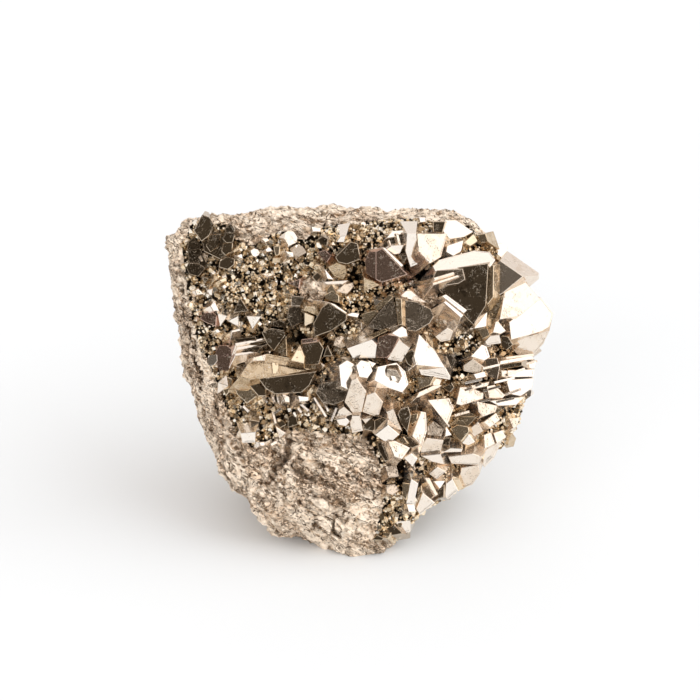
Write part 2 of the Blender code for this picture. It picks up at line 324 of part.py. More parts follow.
    ("viewer", 2.6, (19.0, -7.6), (20.4, -5.6), (23.5, -7.0)),
    ("left", 2.4, (8.6, -20.6), (10.0, -20.8), (9.4, -24.1), (8.6, -23.4)),
    ("left", 2.2, (11.7, -21.8), (12.5, -21.1), (12.4, -22.6), (11.4, -25.0)),
    ("down", 1.9, (18.7, -19.3), (20.1, -19.8), (21.0, -21.9), (19.9, -22.2)),
    ("left", 1.6, (4.6, -30.6), (6.3, -30.8), (5.6, -32.0), (4.8, -31.7)),
    ("left", 1.6, (-7.3, 17.3), (-5.6, 18.3), (-4.3, 17.3), (-4.3, 15.9), (-5.4, 16.1), (-7.0, 16.6)),
    # plum ones
    ("left", 1.5, (-32.4, 12.6), (-31.6, 13.8), (-29.9, 14.0), (-29.1, 13.3), (-29.2, 11.1),
     (-31.1, 11.8)),
    ("left", 1.8, (-8.5, 26.1), (-7.0, 26.5), (-5.9, 25.4), (-6.7, 24.1), (-7.8, 24.9)),
    ("viewer", 3.9, (3.2, 26.2), (4.4, 26.8), (9.6, 21.6), (4.4, 20.0), (3.2, 20.6)),
    ("left", 3.6, (1.9, 26.2), (3.2, 26.2), (3.2, 20.6), (1.3, 21.7), (1.0, 24.2)),
    ("left", 2.0, (-29.3, 5.9), (-28.6, 7.2), (-27.0, 7.2), (-25.8, 6.3), (-25.8, 3.6), (-27.0, 1.8),
     (-28.5, 1.9), (-29.3, 3.8)),
    ("left", 3.4, (3.7, 8.9), (6.0, 9.7), (7.9, 8.6), (7.5, 6.8), (5.4, 4.7), (3.3, 4.8)),
    ("left", 1.2, (-14.5, 19.8), (-12.1, 20.7), (-12.4, 18.7)),
    ("left", 2.8, (-11.9, 8.4), (-8.8, 8.8), (-8.7, 8.0), (-11.8, 7.6)),
)
# How far a facet's normal leans right and up on the plan.
FACINGS = {
    "viewer": (-0.01, 0.04),
    "left": (-0.25, -0.02),
    "right": (0.33, 0.14),
    "rise": (0.27, 0.30),
    "up": (0.14, 0.42),
    "down": (0.02, -0.38),
}
# A crystal reaches this far into the rock, and its sides lean out by this much towards the rock.
ROOT_DEPTH = 2.6 * MM
SIDE_LEAN = math.radians(12)
SIDE_LEAN_SPREAD = math.radians(6)

# The small crystals between the large ones are scattered over the crust and turned at random.
CRUST_OUTLINE = (
    (-36, 27), (-33.5, 32.5), (-20, 29.5), (-8, 31), (10, 33), (22, 31), (33, 22), (37, 12), (35, 0),
    (31, -11), (20, -22), (11, -28), (9, -33), (3, -32), (5, -25), (5, -18), (1, -11), (-13, -9.5),
    (-22, -13.5), (-25.5, -9), (-28, -2), (-33, 9), (-34.5, 17),
)
BARE_PATCHES = (
    (-9.5, 18.5, 3.0), (13.4, 17.2, 2.6), (17.2, 12.9, 2.4), (-22, 32.5, 5.0), (-12, 32.0, 3.5),
)
SMALL_COUNT = 64
SMALL_SIZES = (1.6, 3.0)
SMALL_SPACING = 1.9
SMALL_STAND = 0.35
SMALL_DEPTH = 1.4
SMALL_TILT = 0.5
CRUST_HALF_WIDTH = 37
CRUST_HALF_HEIGHT = 30.5
SEED = 11
SIDE_SEED = 5

# The corners of a block crystal that an octahedron facet cuts, and how far out from its middle.
CORNER_CUTS = (
    ((1, 1, 1), 0.74),
    ((-1, 1, 1), 0.93),
    ((-1, -1, 1), 0.80),
    ((1, -1, 1), 0.97),
    ((1, 1, -1), 0.85),
)
REST_HEIGHT = 0.0
# Puts the middle of the specimen's box over the origin.
FOOTPRINT_SHIFT = Vector((0.185, -3.466, 0)) * MM


def clear_scene():
    for old in list(bpy.data.objects):
        bpy.data.objects.remove(old, do_unlink=True)


def plan_axes():
    """The plan's u, v and w directions, as the columns of a matrix."""
    right = Vector((1, 0, 0))
    up = Vector((0, math.sin(PLAN_LEAN), math.cos(PLAN_LEAN)))
    out = Vector((0, -math.cos(PLAN_LEAN), math.sin(PLAN_LEAN)))
    return Matrix((right, up, out)).transposed()


def plan_point(u, v, w=0.0):
    """The place at height w on the line from the layout point through (u, v) on the plan."""
    spread = 1 - w * MM / LAYOUT_DISTANCE
    return PLAN_MIDDLE + plan_axes() @ Vector((u * spread, v * spread, w)) * MM


def layout_point():
    return PLAN_MIDDLE + plan_axes() @ Vector((0, 0, LAYOUT_DISTANCE))


def new_object(name, mesh, collection):
    made = bpy.data.objects.new(name, mesh)
    collection.objects.link(made)
    return made


def mesh_from(bm, name):
    mesh = bpy.data.meshes.new(name)
    bmesh.ops.recalc_face_normals(bm, faces=bm.faces)
    bm.to_mesh(mesh)
    bm.free()
    return mesh


def cut_away(bm, point, normal):
    """Break off what lies past a plane, and close the cut."""
    everything = bm.verts[:] + bm.edges[:] + bm.faces[:]
    cut = bmesh.ops.bisect_plane(
        bm, geom=everything, plane_co=point, plane_no=normal, clear_outer=True
    )
    rim = [part for part in cut["geom_cut"] if isinstance(part, bmesh.types.BMEdge)]
    if rim:
        bmesh.ops.contextual_create(bm, geom=rim)


def broken_block():
    bm = bmesh.new()
    bmesh.ops.create_cube(bm, size=BLOCK_SIDE)
    bmesh.ops.translate(bm, verts=bm.verts, vec=PLAN_MIDDLE)
    for place, facing in PLAN_FRACTURES:
        cut_away(bm, plan_point(*place), plan_axes() @ Vector(facing))
    for place, facing in BACK_FRACTURES:
        cut_away(bm, Vector(place) * MM, Vector(facing))
    return bm


def add_lump(bm, middle, half_sizes):
    stretch = Matrix.Diagonal(Vector(half_sizes) * MM).to_4x4()
    place = Matrix.Translation(plan_point(*middle)) @ plan_axes().to_4x4() @ stretch
    bmesh.ops.create_icosphere(bm, subdivisions=3, radius=1, matrix=place)


def noise_texture(name, scale):
    texture = bpy.data.textures.new(name, "CLOUDS")
    texture.noise_scale = scale
    texture.noise_depth = 2
    return texture


def add_displace(obj, name, texture, height):
    displace = obj.modifiers.new(name, "DISPLACE")
    displace.texture = texture
    displace.texture_coords = "LOCAL"
    displace.strength = height
    displace.mid_level = NOISE_LEVEL


def press_hollows(mesh):
    """Push the rock in where it has a hollow."""
    out = plan_axes().col[2]
    for u, v, radius, depth in HOLLOWS:
        top = plan_point(u, v)
        for vertex in mesh.vertices:
            offset = vertex.co - top
            side = (offset - out * offset.dot(out)).length
            if side < radius * MM and offset.dot(out) > -HOLLOW_REACH:
                vertex.co -= out * depth * MM * (1 - (side / (radius * MM)) ** 2) ** 2


def drop_sealed_pockets(mesh):
    """Crystals that meet can seal a pocket between them. Only the outer skin is kept."""
    bm = bmesh.new()
    bm.from_mesh(mesh)
    left = set(bm.verts)
    skins = []
    while left:
        skin = {left.pop()}
        edge_of_skin = list(skin)
        while edge_of_skin:
            vertex = edge_of_skin.pop()
            near = {edge.other_vert(vertex) for edge in vertex.link_edges} - skin
            skin |= near
            edge_of_skin.extend(near)
        left -= skin
        skins.append(skin)
    outer = max(skins, key=len)
    pockets = [vertex for vertex in bm.verts if vertex not in outer]
    bmesh.ops.delete(bm, geom=pockets, context="VERTS")
    bm.to_mesh(mesh)
    bm.free()


def evaluated_mesh(obj):
    graph = bpy.context.evaluated_depsgraph_get()
    return bpy.data.meshes.new_from_object(obj.evaluated_get(graph))


def make_rock(guides):
    """The bare rock: the block and its lumps joined, roughened, hollowed and cut flat underneath."""
    bm = broken_block()
    for middle, half_sizes in LUMPS:
        add_lump(bm, middle, half_sizes)
    rock = new_object("rock", mesh_from(bm, "rock"), guides)
    remesh = rock.modifiers.new("One skin", "REMESH")
    remesh.mode = "VOXEL"
    remesh.voxel_size = ROCK_VOXEL
    add_displace(rock, "Lumps", noise_texture("lumps", LUMP_NOISE), LUMP_HEIGHT)
    add_displace(rock, "Grain", noise_texture("grain", GRAIN_NOISE), GRAIN_HEIGHT)
    skin = evaluated_mesh(rock)
    rock.modifiers.clear()
    rock.data = skin
    press_hollows(skin)
    decimate = rock.modifiers.new("Fewer faces", "DECIMATE")
    decimate.ratio = ROCK_TRIANGLES / (2 * len(skin.polygons))
    bm = bmesh.new()
    bm.from_mesh(evaluated_mesh(rock))
    cut_away(bm, Vector((0, 0, REST_HEIGHT)), Vector((0, 0, -1)))
    bmesh.ops.triangulate(bm, faces=bm.faces)
    rock.modifiers.clear()
    rock.data = mesh_from(bm, "rock")
    return rock


def unit_crystal(form):
    """A crystal one unit wide, high and deep, with its front towards +Z."""
    bm = bmesh.new()
    if form == "block":
        bmesh.ops.create_cube(bm, size=1)
        for corner, reach in CORNER_CUTS:
            normal = Vector(corner).normalized()
            cut_away(bm, normal * reach * math.sqrt(3) / 2, normal)
        return bm
    bmesh.ops.create_uvsphere(bm, u_segments=4, v_segments=2, radius=0.5)
    if form == "tri":
        front = Vector((1, 1, 1)).normalized()
        upright = Vector((-1, -1, 2)).normalized()
        turn = Matrix((upright.cross(front), upright, front))
        bmesh.ops.transform(bm, matrix=turn.to_4x4(), verts=bm.verts)
        wide = math.sqrt(2) / 2
        high = math.sqrt(6) / 4
        deep = 1 / math.sqrt(3)
        bmesh.ops.scale(bm, vec=(1 / wide, 1 / high, 1 / deep), verts=bm.verts)
    return bm


def crystal_frame(facing_u, facing_v, turn):
    """A crystal's own axes: z the way that it faces, x turned from the plan's u."""
    out = math.sqrt(max(0.0, 1 - facing_u**2 - facing_v**2))
    z = plan_axes() @ Vector((facing_u, facing_v, out))
    along = plan_axes().col[0]
    x = (along - z * along.dot(z)).normalized()
    x = Matrix.Rotation(math.radians(turn), 3, z) @ x
    return Matrix((x, z.cross(x), z)).transposed()


def surface_under(skin, u, v):
    """Where the line from the layout point through a place on the plan meets the rock."""
    start = layout_point()
    ray = (plan_point(u, v) - start).normalized()
    hit = skin.ray_cast(start, ray)[0]
    if hit is None:
        hit = skin.find_nearest(plan_point(u, v, RIM_HEIGHT))[0]
    return hit, ray


def add_shape(bm, shape):
    """Put a finished crystal in with the others."""
    bmesh.ops.recalc_face_normals(shape, faces=shape.faces)
    part = bpy.data.meshes.new("crystal")
    shape.to_mesh(part)
    shape.free()
    bm.from_mesh(part)
    bpy.data.meshes.remove(part)


def facet_corners(front, facing, corners):
    """Where the lines from the layout point through the corners on the plan meet the facet's plane."""
    start = layout_point()
    return [intersect_line_plane(start, plan_point(u, v), front, facing) for u, v in corners]


def add_large_crystal(bm, skin, row, chance):
    """A slab with its front on the facet's plane, cut along each side of the facet's outline."""
    word, stand, *corners = row
    middle_u = sum(u for u, v in corners) / len(corners)
    middle_v = sum(v for u, v in corners) / len(corners)
    hit, ray = surface_under(skin, middle_u, middle_v)
    front = hit - ray * stand * MM
    frame = crystal_frame(*FACINGS[word], 0)
    facing = frame.col[2]
    rim = facet_corners(front, facing, corners)
    depth = stand * MM + ROOT_DEPTH
    widening = depth * math.tan(SIDE_LEAN + SIDE_LEAN_SPREAD)
    reach = 2 * (max((corner - front).length for corner in rim) + widening)
    shape = bmesh.new()
    bmesh.ops.create_cube(shape, size=1)
    place = Matrix.Translation(front - facing * depth / 2) @ frame.to_4x4()
    size = Matrix.Diagonal((reach, reach, depth, 1))
    bmesh.ops.transform(shape, matrix=place @ size, verts=shape.verts)
    for corner, following in zip(rim, rim[1:] + rim[:1]):
        outward = (following - corner).cross(facing).normalized()
        if outward.dot(corner - front) < 0:
            outward.negate()
        lean = SIDE_LEAN + chance.uniform(-1, 1) * SIDE_LEAN_SPREAD
        cut_away(shape, corner, outward * math.cos(lean) + facing * math.sin(lean))
    add_shape(bm, shape)


def add_small_crystal(bm, skin, row):
    u, v, size, form, facing_u, facing_v, turn = row
    hit, ray = surface_under(skin, u, v)
    frame = crystal_frame(facing_u, facing_v, turn)
    depth = SMALL_DEPTH * size
    middle = hit - ray * SMALL_STAND * size * MM - frame.col[2] * depth / 2 * MM
    stretch = Matrix.Diagonal(Vector((size, size, depth)) * MM).to_4x4()
    shape = unit_crystal(form)
    place = Matrix.Translation(middle) @ frame.to_4x4() @ stretch
    bmesh.ops.transform(shape, matrix=place, verts=shape.verts)
    add_shape(bm, shape)


def inside_outline(u, v):
    inside = False
    for (u0, v0), (u1, v1) in zip(CRUST_OUTLINE, CRUST_OUTLINE[1:] + CRUST_OUTLINE[:1]):
        if (v0 > v) != (v1 > v) and u < u0 + (v - v0) * (u1 - u0) / (v1 - v0):
            inside = not inside
    return inside


def small_crystals():
    """Rows of place, size, form, facing and turn, scattered at random over the crust."""
    chance = random.Random(SEED)
    rows = []
    while len(rows) < SMALL_COUNT:
        u = chance.uniform(-CRUST_HALF_WIDTH, CRUST_HALF_WIDTH)
        v = chance.uniform(-CRUST_HALF_HEIGHT, CRUST_HALF_HEIGHT)
        bare = any(math.dist((u, v), (x, y)) < radius for x, y, radius in BARE_PATCHES)
        crowded = any(math.dist((u, v), row[:2]) < SMALL_SPACING for row in rows)
        if bare or crowded or not inside_outline(u, v):
            continue
        size = chance.uniform(*SMALL_SIZES)
        form = chance.choice(("tri", "block", "point"))
        facing_u = chance.uniform(-SMALL_TILT, SMALL_TILT)
        facing_v = chance.uniform(-SMALL_TILT, SMALL_TILT)
        rows.append((u, v, size, form, facing_u, facing_v, chance.uniform(0, 360)))
    return rows


def make_crystals(skin, guides):
    bm = bmesh.new()
    chance = random.Random(SIDE_SEED)
    for row in LARGE_CRYSTALS:
        add_large_crystal(bm, skin, row, chance)
    for row in small_crystals():
        add_small_crystal(bm, skin, row)
    mesh = bpy.data.meshes.new("crystals")
    bm.to_mesh(mesh)
    bm.free()
    return new_object("crystals", mesh, guides)


def pyrite_material():
    material = bpy.data.materials.new("pyrite")
    material.use_nodes = True
    shader = material.node_tree.nodes["Principled BSDF"]
    shader.inputs["Base Color"].default_value = PYRITE_COLOUR
    shader.inputs["Roughness"].default_value = PYRITE_ROUGHNESS
    shader.inputs["Metallic"].default_value = PYRITE_METALLIC
    return material


def floor_cutter(guides):
    """A block that takes off whatever would reach under the flat fracture at the foot."""
    bm = bmesh.new()
    bmesh.ops.create_cube(bm, size=BLOCK_SIDE)
    below = Vector((0, 0, REST_HEIGHT - BLOCK_SIDE / 2))
    bmesh.ops.translate(bm, verts=bm.verts, vec=below)
    return new_object("floor", mesh_from(bm, "floor"), guides)


def make_specimen():
    parts = bpy.data.collections.new("pyrite_specimen")
    guides = bpy.data.collections.new("guides")
    bpy.context.scene.collection.children.link(parts)
    bpy.context.scene.collection.children.link(guides)
    rock = make_rock(guides)
    bm = bmesh.new()
    bm.from_mesh(rock.data)
    skin = BVHTree.FromBMesh(bm)
    bm.free()
    crystals = make_crystals(skin, guides)
    specimen = new_object("pyrite_specimen", rock.data.copy(), parts)
    union = specimen.modifiers.new("Crystals grown on", "BOOLEAN")
    union.operation = "UNION"
    union.solver = "EXACT"
    union.use_self = True
    union.object = crystals
    floor = floor_cutter(guides)
    rest = specimen.modifiers.new("Flat to rest on", "BOOLEAN")
    rest.operation = "DIFFERENCE"
    rest.solver = "EXACT"
    rest.object = floor
    joined = evaluated_mesh(specimen)
    specimen.modifiers.clear()
    specimen.data = joined
    drop_sealed_pockets(joined)
    joined.transform(Matrix.Translation(FOOTPRINT_SHIFT))
    joined.materials.clear()
    joined.materials.append(pyrite_material())
    for guide in (rock, crystals, floor):
        guide.hide_render = True
        guide.display_type = "WIRE"
    print("rock", len(rock.data.polygons), "specimen", len(joined.polygons))


clear_scene()
make_specimen()
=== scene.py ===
# %% [markdown]
# # A pyrite specimen
# This notebook builds one loose piece of massive, granular pyrite with a crust of bright crystals on
# its front. The whole thing is one natural piece, about 79 mm wide, that rests on a flat fracture.
# We start from the solid model of it. That model fixes the size and the place of everything, so it
# is loaded first and never changed. Each piece made below is laid over it and stands for it.

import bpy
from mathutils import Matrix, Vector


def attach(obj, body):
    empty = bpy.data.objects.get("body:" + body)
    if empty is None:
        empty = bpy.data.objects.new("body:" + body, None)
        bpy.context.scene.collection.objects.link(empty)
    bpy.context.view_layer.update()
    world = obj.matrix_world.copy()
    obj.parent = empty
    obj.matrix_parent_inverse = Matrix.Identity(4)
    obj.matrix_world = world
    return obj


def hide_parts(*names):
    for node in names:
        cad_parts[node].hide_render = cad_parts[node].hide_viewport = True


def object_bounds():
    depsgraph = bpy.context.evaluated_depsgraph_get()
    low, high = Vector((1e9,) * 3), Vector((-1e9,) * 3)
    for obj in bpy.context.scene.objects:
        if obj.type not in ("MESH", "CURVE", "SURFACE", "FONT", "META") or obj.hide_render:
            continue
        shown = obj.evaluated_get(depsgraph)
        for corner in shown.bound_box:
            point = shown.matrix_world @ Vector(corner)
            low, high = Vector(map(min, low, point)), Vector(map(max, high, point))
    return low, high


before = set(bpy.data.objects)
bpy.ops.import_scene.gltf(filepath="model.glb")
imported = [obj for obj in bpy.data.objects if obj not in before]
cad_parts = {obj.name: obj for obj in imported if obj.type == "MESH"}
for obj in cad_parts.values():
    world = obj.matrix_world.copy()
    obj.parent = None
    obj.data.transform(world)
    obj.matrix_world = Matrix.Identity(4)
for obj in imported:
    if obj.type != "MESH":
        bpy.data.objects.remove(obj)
CAD_LOW, CAD_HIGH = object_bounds()
print("solid model, from", [round(value * 1000, 1) for value in CAD_LOW],
      "to", [round(value * 1000, 1) for value in CAD_HIGH], "mm")

# %% [markdown]
# ## A sheet to lay things out on
# The crust leans back by 28 degrees. It would be hard to place all the crystals by x, y and z, so we
# imagine a flat sheet of paper leaning with it: u runs to the right on the sheet, v runs up it, and w
# comes out of it. Everything is laid out on this sheet in millimetres, as seen from one point in
# front of it. A crystal is then dropped from that point along a straight line onto the rock.

# %% The leaning sheet
import math
import random

import bmesh
import bpy
from mathutils import Matrix, Vector
from mathutils.bvhtree import BVHTree
from mathutils.geometry import intersect_line_plane
from mathutils.kdtree import KDTree

MM = 0.001
SHEET_LEAN = math.radians(28)
SHEET_MIDDLE = Vector((0, -0.8, 31)) * MM
LAYOUT_DISTANCE = 394 * MM
FOOTPRINT_SHIFT = Vector((0.185, -3.466, 0)) * MM
RIGHT = Vector((1, 0, 0))
UP = Vector((0, math.sin(SHEET_LEAN), math.cos(SHEET_LEAN)))
OUT = Vector((0, -math.cos(SHEET_LEAN), math.sin(SHEET_LEAN)))
SHEET_AXES = Matrix((RIGHT, UP, OUT)).transposed()
LAYOUT_POINT = SHEET_MIDDLE + OUT * LAYOUT_DISTANCE


def sheet_point(u, v, w=0.0):
    """The place at height w on the line from the layout point through (u, v) on the sheet."""
    spread = 1 - w * MM / LAYOUT_DISTANCE
    return SHEET_MIDDLE + SHEET_AXES @ Vector((u * spread, v * spread, w)) * MM


print("the sheet leans", round(math.degrees(SHEET_LEAN)), "degrees")

# %% [markdown]
# ## Small helpers
# Every operator works on what is selected, so each step begins by selecting exactly one thing. When
# a piece is done, its place is moved into its mesh, and its object is left at the origin. Many shapes
# below are cut by planes: the bisect tool throws away what lies outside and fills the cut.

# %% Helpers for selecting, cutting and finishing
DEFAULT_TOLERANCE = 0.0001


def select_only(*chosen):
    bpy.ops.object.select_all(action="DESELECT")
    for piece in chosen:
        piece.select_set(True)
    bpy.context.view_layer.objects.active = chosen[0]


def settle(piece):
    select_only(piece)
    bpy.ops.object.transform_apply(location=True, rotation=True, scale=True)


def apply_modifiers(piece):
    select_only(piece)
    for modifier in list(piece.modifiers):
        bpy.ops.object.modifier_apply(modifier=modifier.name)


def cut_along(planes, tolerance=DEFAULT_TOLERANCE):
    """Cut the active piece along each plane, given by a point on it and the way that it faces."""
    bpy.ops.object.mode_set(mode="EDIT")
    for place, facing in planes:
        bpy.ops.mesh.select_all(action="SELECT")
        bpy.ops.mesh.bisect(
            plane_co=place, plane_no=facing, use_fill=True, clear_outer=True, threshold=tolerance)
    bpy.ops.object.mode_set(mode="OBJECT")


print("helpers ready")

# %% [markdown]
# ## The broken block
# Pyrite breaks along rough, nearly flat fractures. A good way to make such a lump is the way nature
# does it: start with a block that is too big and break its corners off. Each row below is one
# fracture, with a point on it and the way that it faces. The rows of the front are measured on the
# sheet, the rows of the back from the floor.

# %% Break the block
BLOCK_SIDE = 130 * MM
FRONT_FRACTURES = (
    ((-12, 10, 3.6), (-0.10, 0.02, 1.0)),  # the crust, left of its middle
    ((18, 8, 2.2), (0.30, -0.02, 1.0)),  # the crust, right of its middle
    ((33.5, 10, -3), (1.0, -0.05, 0.55)),  # the crust, where it turns the right corner
    ((36.0, 5, -15), (1.0, -0.10, -0.20)),  # the right end
    ((30, 22, -5), (0.80, 0.60, 0.15)),  # the upper right corner
    ((0, 31.0, 2.0), (0.02, 0.88, 0.47)),  # the top
    ((-39.3, 31.3, -4), (-0.75, 0.55, 0.30)),  # the upper left corner
    ((-38.9, 25.5, 1), (-0.90, -0.27, 0.36)),  # the bare left side
    ((-44.0, 25.3, -12), (-0.80, -0.31, -0.60)),  # the left side, turning to the back
    ((-19, -25, -3), (-0.633, -0.774, -0.15)),  # the lower left
    ((20.3, -19.5, -4), (0.63, -0.78, -0.10)),  # the lower right
    ((32.5, -4, -6), (1.0, -0.35, 0.0)),  # the right side under its corner
    ((0, -22, 6.0), (0.05, -0.50, 0.85)),  # the foot, under the crust
)
BACK_FRACTURES = (
    ((0, 0, -1.6), (0, 0, -1)),  # the underside
    ((0, 23.5, 40), (0.05, 1, 0.10)),  # the back
    ((14, 21, 30), (0.55, 0.80, -0.15)),  # the back, right
    ((-16, 22, 40), (-0.42, 0.88, -0.10)),  # the back, left
    ((2, 22, 16), (0.05, 0.85, -0.52)),  # the back, low down
    ((0, 23, 59), (0, 0.62, 0.78)),  # the back of the top
)

bpy.ops.object.select_all(action="DESELECT")
bpy.ops.mesh.primitive_cube_add(size=BLOCK_SIDE, location=SHEET_MIDDLE)
rock = bpy.context.object
rock.name = "bare_rock"
settle(rock)
fractures = [(sheet_point(*place), SHEET_AXES @ Vector(facing)) for place, facing in FRONT_FRACTURES]
fractures += [(Vector(place) * MM, Vector(facing)) for place, facing in BACK_FRACTURES]
cut_along(fractures)
print("the block has", len(rock.data.polygons), "fracture faces")

# %% [markdown]
# ## Rounded lumps and one skin
# The foot of the specimen has rounded lumps where the crust has broken off, and three small ones
# stand in the crust. They are stretched spheres joined to the block. A voxel remesh melts everything
# into one skin of even, square faces. Two displacements then give it uneven ground, coarse and finer.

# %% Add the lumps and melt them in
# Each row: the middle on the sheet, and half of the size each way.
LUMPS = (
    ((-6.5, -19.5, 0.0), (13.5, 10.0, 8.5)),
    ((-20.0, -15.5, -2.0), (8.0, 6.0, 7.0)),
    ((-8.0, -26.0, -2.0), (12.0, 5.5, 7.5)),
    ((-1.0, -31.0, -3.5), (9.0, 5.0, 6.0)),
    ((13.4, 17.2, 4.4), (3.4, 2.0, 2.6)),
    ((17.2, 12.9, 3.2), (2.8, 2.8, 2.6)),
    ((-9.6, 18.4, 4.2), (3.6, 2.4, 2.6)),
)
ROCK_VOXEL = 2.1 * MM
NOISE_LEVEL = 0.35


def roughen(piece, name, size, height, level=NOISE_LEVEL, noise="SOFT_NOISE", along=None):
    """Add a displacement by a cloud texture, laid out along another object if one is given."""
    texture = bpy.data.textures.new(name, "CLOUDS")
    texture.noise_scale = size
    texture.noise_depth = 2
    texture.noise_type = noise
    displace = piece.modifiers.new(name, "DISPLACE")
    displace.texture = texture
    displace.texture_coords = "OBJECT" if along else "LOCAL"
    displace.texture_coords_object = along
    displace.strength = height
    displace.mid_level = level


lumps = []
for middle, half_sizes in LUMPS:
    bpy.ops.mesh.primitive_ico_sphere_add(
        subdivisions=3, radius=1, location=sheet_point(*middle),
        rotation=SHEET_AXES.to_euler(), scale=Vector(half_sizes) * MM)
    lumps.append(bpy.context.object)
for lump in lumps:
    settle(lump)
select_only(rock, *lumps)
bpy.ops.object.join()
melt = rock.modifiers.new("One skin", "REMESH")
melt.mode = "VOXEL"
melt.voxel_size = ROCK_VOXEL
roughen(rock, "Lumps", size=9 * MM, height=3.0 * MM)
roughen(rock, "Coarse grain", size=4.5 * MM, height=1.5 * MM)
apply_modifiers(rock)
print("one skin of", len(rock.data.polygons), "faces")

# %% [markdown]
# ## Hollows
# Between the crystals there are dark hollows, and a crevice runs between two of the lumps. Each is
# pressed in by moving one vertex inwards with proportional editing, which takes its neighbours along
# less and less, up to the hollow's radius.

# %% Press the hollows in
# Each row: u, v, radius and depth.
HOLLOWS = (
    (11.5, 21.0, 3.6, 5.0), (1.2, -12.2, 2.6, 3.6), (-15.0, -13.6, 1.8, 2.6),
    (-15.3, -16.4, 1.8, 3.0), (-16.2, -18.8, 1.8, 2.2), (-11.8, -18.4, 2.2, 1.8),
    (-6.0, -24.6, 2.4, 1.6), (-0.6, 21.5, 2.4, 3.0), (19.8, 3.0, 2.4, 3.5),
    (-32.3, 0.6, 2.0, 2.4), (-13.5, 8.2, 2.2, 3.0), (9.0, -18.5, 2.6, 3.0),
)


def skin_of(piece):
    """A tree that finds where a line meets the piece's surface."""
    graph = bpy.context.evaluated_depsgraph_get()
    return BVHTree.FromObject(piece, graph)


def drop_onto(skin, u, v):
    """Where the line from the layout point through (u, v) meets the skin, and the line's direction."""
    ray = (sheet_point(u, v) - LAYOUT_POINT).normalized()
    hit = skin.ray_cast(LAYOUT_POINT, ray)[0]
    if hit is None:
        hit = skin.find_nearest(sheet_point(u, v, -4))[0]
    return hit, ray


def press_in(piece, chosen, radius, depth, falloff):
    """Press the chosen vertices inwards, and their neighbours less and less up to the radius."""
    select_only(piece)
    bpy.ops.object.mode_set(mode="EDIT")
    bpy.ops.mesh.select_all(action="DESELECT")
    bpy.ops.object.mode_set(mode="OBJECT")
    for index in chosen:
        piece.data.vertices[index].select = True
    bpy.ops.object.mode_set(mode="EDIT")
    bpy.ops.transform.translate(
        value=-OUT * depth * MM, use_proportional_edit=True,
        proportional_edit_falloff=falloff, proportional_size=radius * MM)
    bpy.ops.object.mode_set(mode="OBJECT")


rock_skin = skin_of(rock)
for u, v, radius, depth in HOLLOWS:
    place = drop_onto(rock_skin, u, v)[0]
    nearest = min(rock.data.vertices, key=lambda vertex: (vertex.co - place).length)
    press_in(rock, [nearest.index], radius, depth, "SMOOTH")
print(len(HOLLOWS), "hollows pressed in")

# %% [markdown]
# ## The broken surface
# A fresh break in granular pyrite is full of short cracks, ridges and pits. Two subdivisions give the
# skin enough faces to carry them. Each crack is a wandering line of vertices, pressed in together.
# Then three displacements follow: long ridges, sharp chips and small pits. The ridges run aslant,
# because their texture is laid out along an empty that is turned and stretched. Last, whatever would
# reach past the box of the solid model is cut off flat, and so is the fracture that it rests on.

# %% Crack the rock
# Each row: u and v where the crack begins and where it ends, radius and depth.
CRACKS = (
    (-14.0, -12.6, -15.2, -16.0, 1.3, 2.6), (-15.2, -16.0, -13.2, -18.2, 1.2, 2.4),
    (-13.2, -18.2, -9.6, -20.0, 1.0, 1.8), (-15.2, -16.0, -18.4, -19.6, 1.2, 1.8),
    (-19.6, -20.6, -15.2, -20.2, 0.8, 1.2), (-15.8, -22.1, -12.2, -24.5, 0.7, 1.0),
    (-12.2, -24.5, -9.1, -27.1, 0.7, 1.0), (-5.1, -27.1, -5.7, -30.2, 0.8, 1.4),
    (-5.7, -30.2, -4.1, -31.6, 0.7, 1.0), (-2.0, -19.4, 3.0, -22.1, 0.8, 1.4),
    (3.0, -26.5, 6.1, -27.1, 0.8, 1.2), (-8.1, -13.2, -4.1, -13.6, 0.7, 1.1),
    (-12.2, -15.4, -5.1, -18.0, 0.8, 1.3), (-11.1, -19.4, -4.1, -21.8, 0.7, 1.0),
    (-10.0, -22.6, -3.0, -25.4, 0.7, 1.0), (-33.4, 5.3, -32.0, -0.2, 1.4, 3.4),
    (-29.4, -4.9, -27.9, -8.9, 0.8, 1.4), (-36.6, 18.6, -35.4, 12.0, 0.8, 1.2),
    (-34.8, 11.4, -33.6, 6.6, 0.8, 1.3), (-26.4, -11.0, -23.6, -16.2, 0.8, 1.2),
)
CRACK_STEP = 0.4
CRACK_WOBBLE = 0.3


def crack_vertices(crack, skin, nearest, wander):
    """The vertices along a crack, with a little wobble."""
    u, v, far_u, far_v = crack
    steps = round(math.dist((u, v), (far_u, far_v)) / CRACK_STEP)
    chosen = []
    for step in range(steps + 1):
        along_u = u + (far_u - u) * step / steps + wander.uniform(-1, 1) * CRACK_WOBBLE
        along_v = v + (far_v - v) * step / steps + wander.uniform(-1, 1) * CRACK_WOBBLE
        place = drop_onto(skin, along_u, along_v)[0]
        chosen.append(nearest.find(place)[1])
    return chosen


finer = rock.modifiers.new("Finer", "SUBSURF")
finer.levels = 2
finer.render_levels = 2
apply_modifiers(rock)
rock_skin = skin_of(rock)
rock_vertices = KDTree(len(rock.data.vertices))
for vertex in rock.data.vertices:
    rock_vertices.insert(vertex.co, vertex.index)
rock_vertices.balance()
wander = random.Random(3)
for *crack, radius, depth in CRACKS:
    press_in(rock, crack_vertices(crack, rock_skin, rock_vertices, wander), radius, depth, "SHARP")
print(len(CRACKS), "cracks pressed in")

# %% Roughen the rock, and cut its foot flat
STREAK_TURN = math.radians(32)
RIDGE_STRETCH = (2.8, 1, 1)
CUT_TOLERANCE = 0.001 * MM


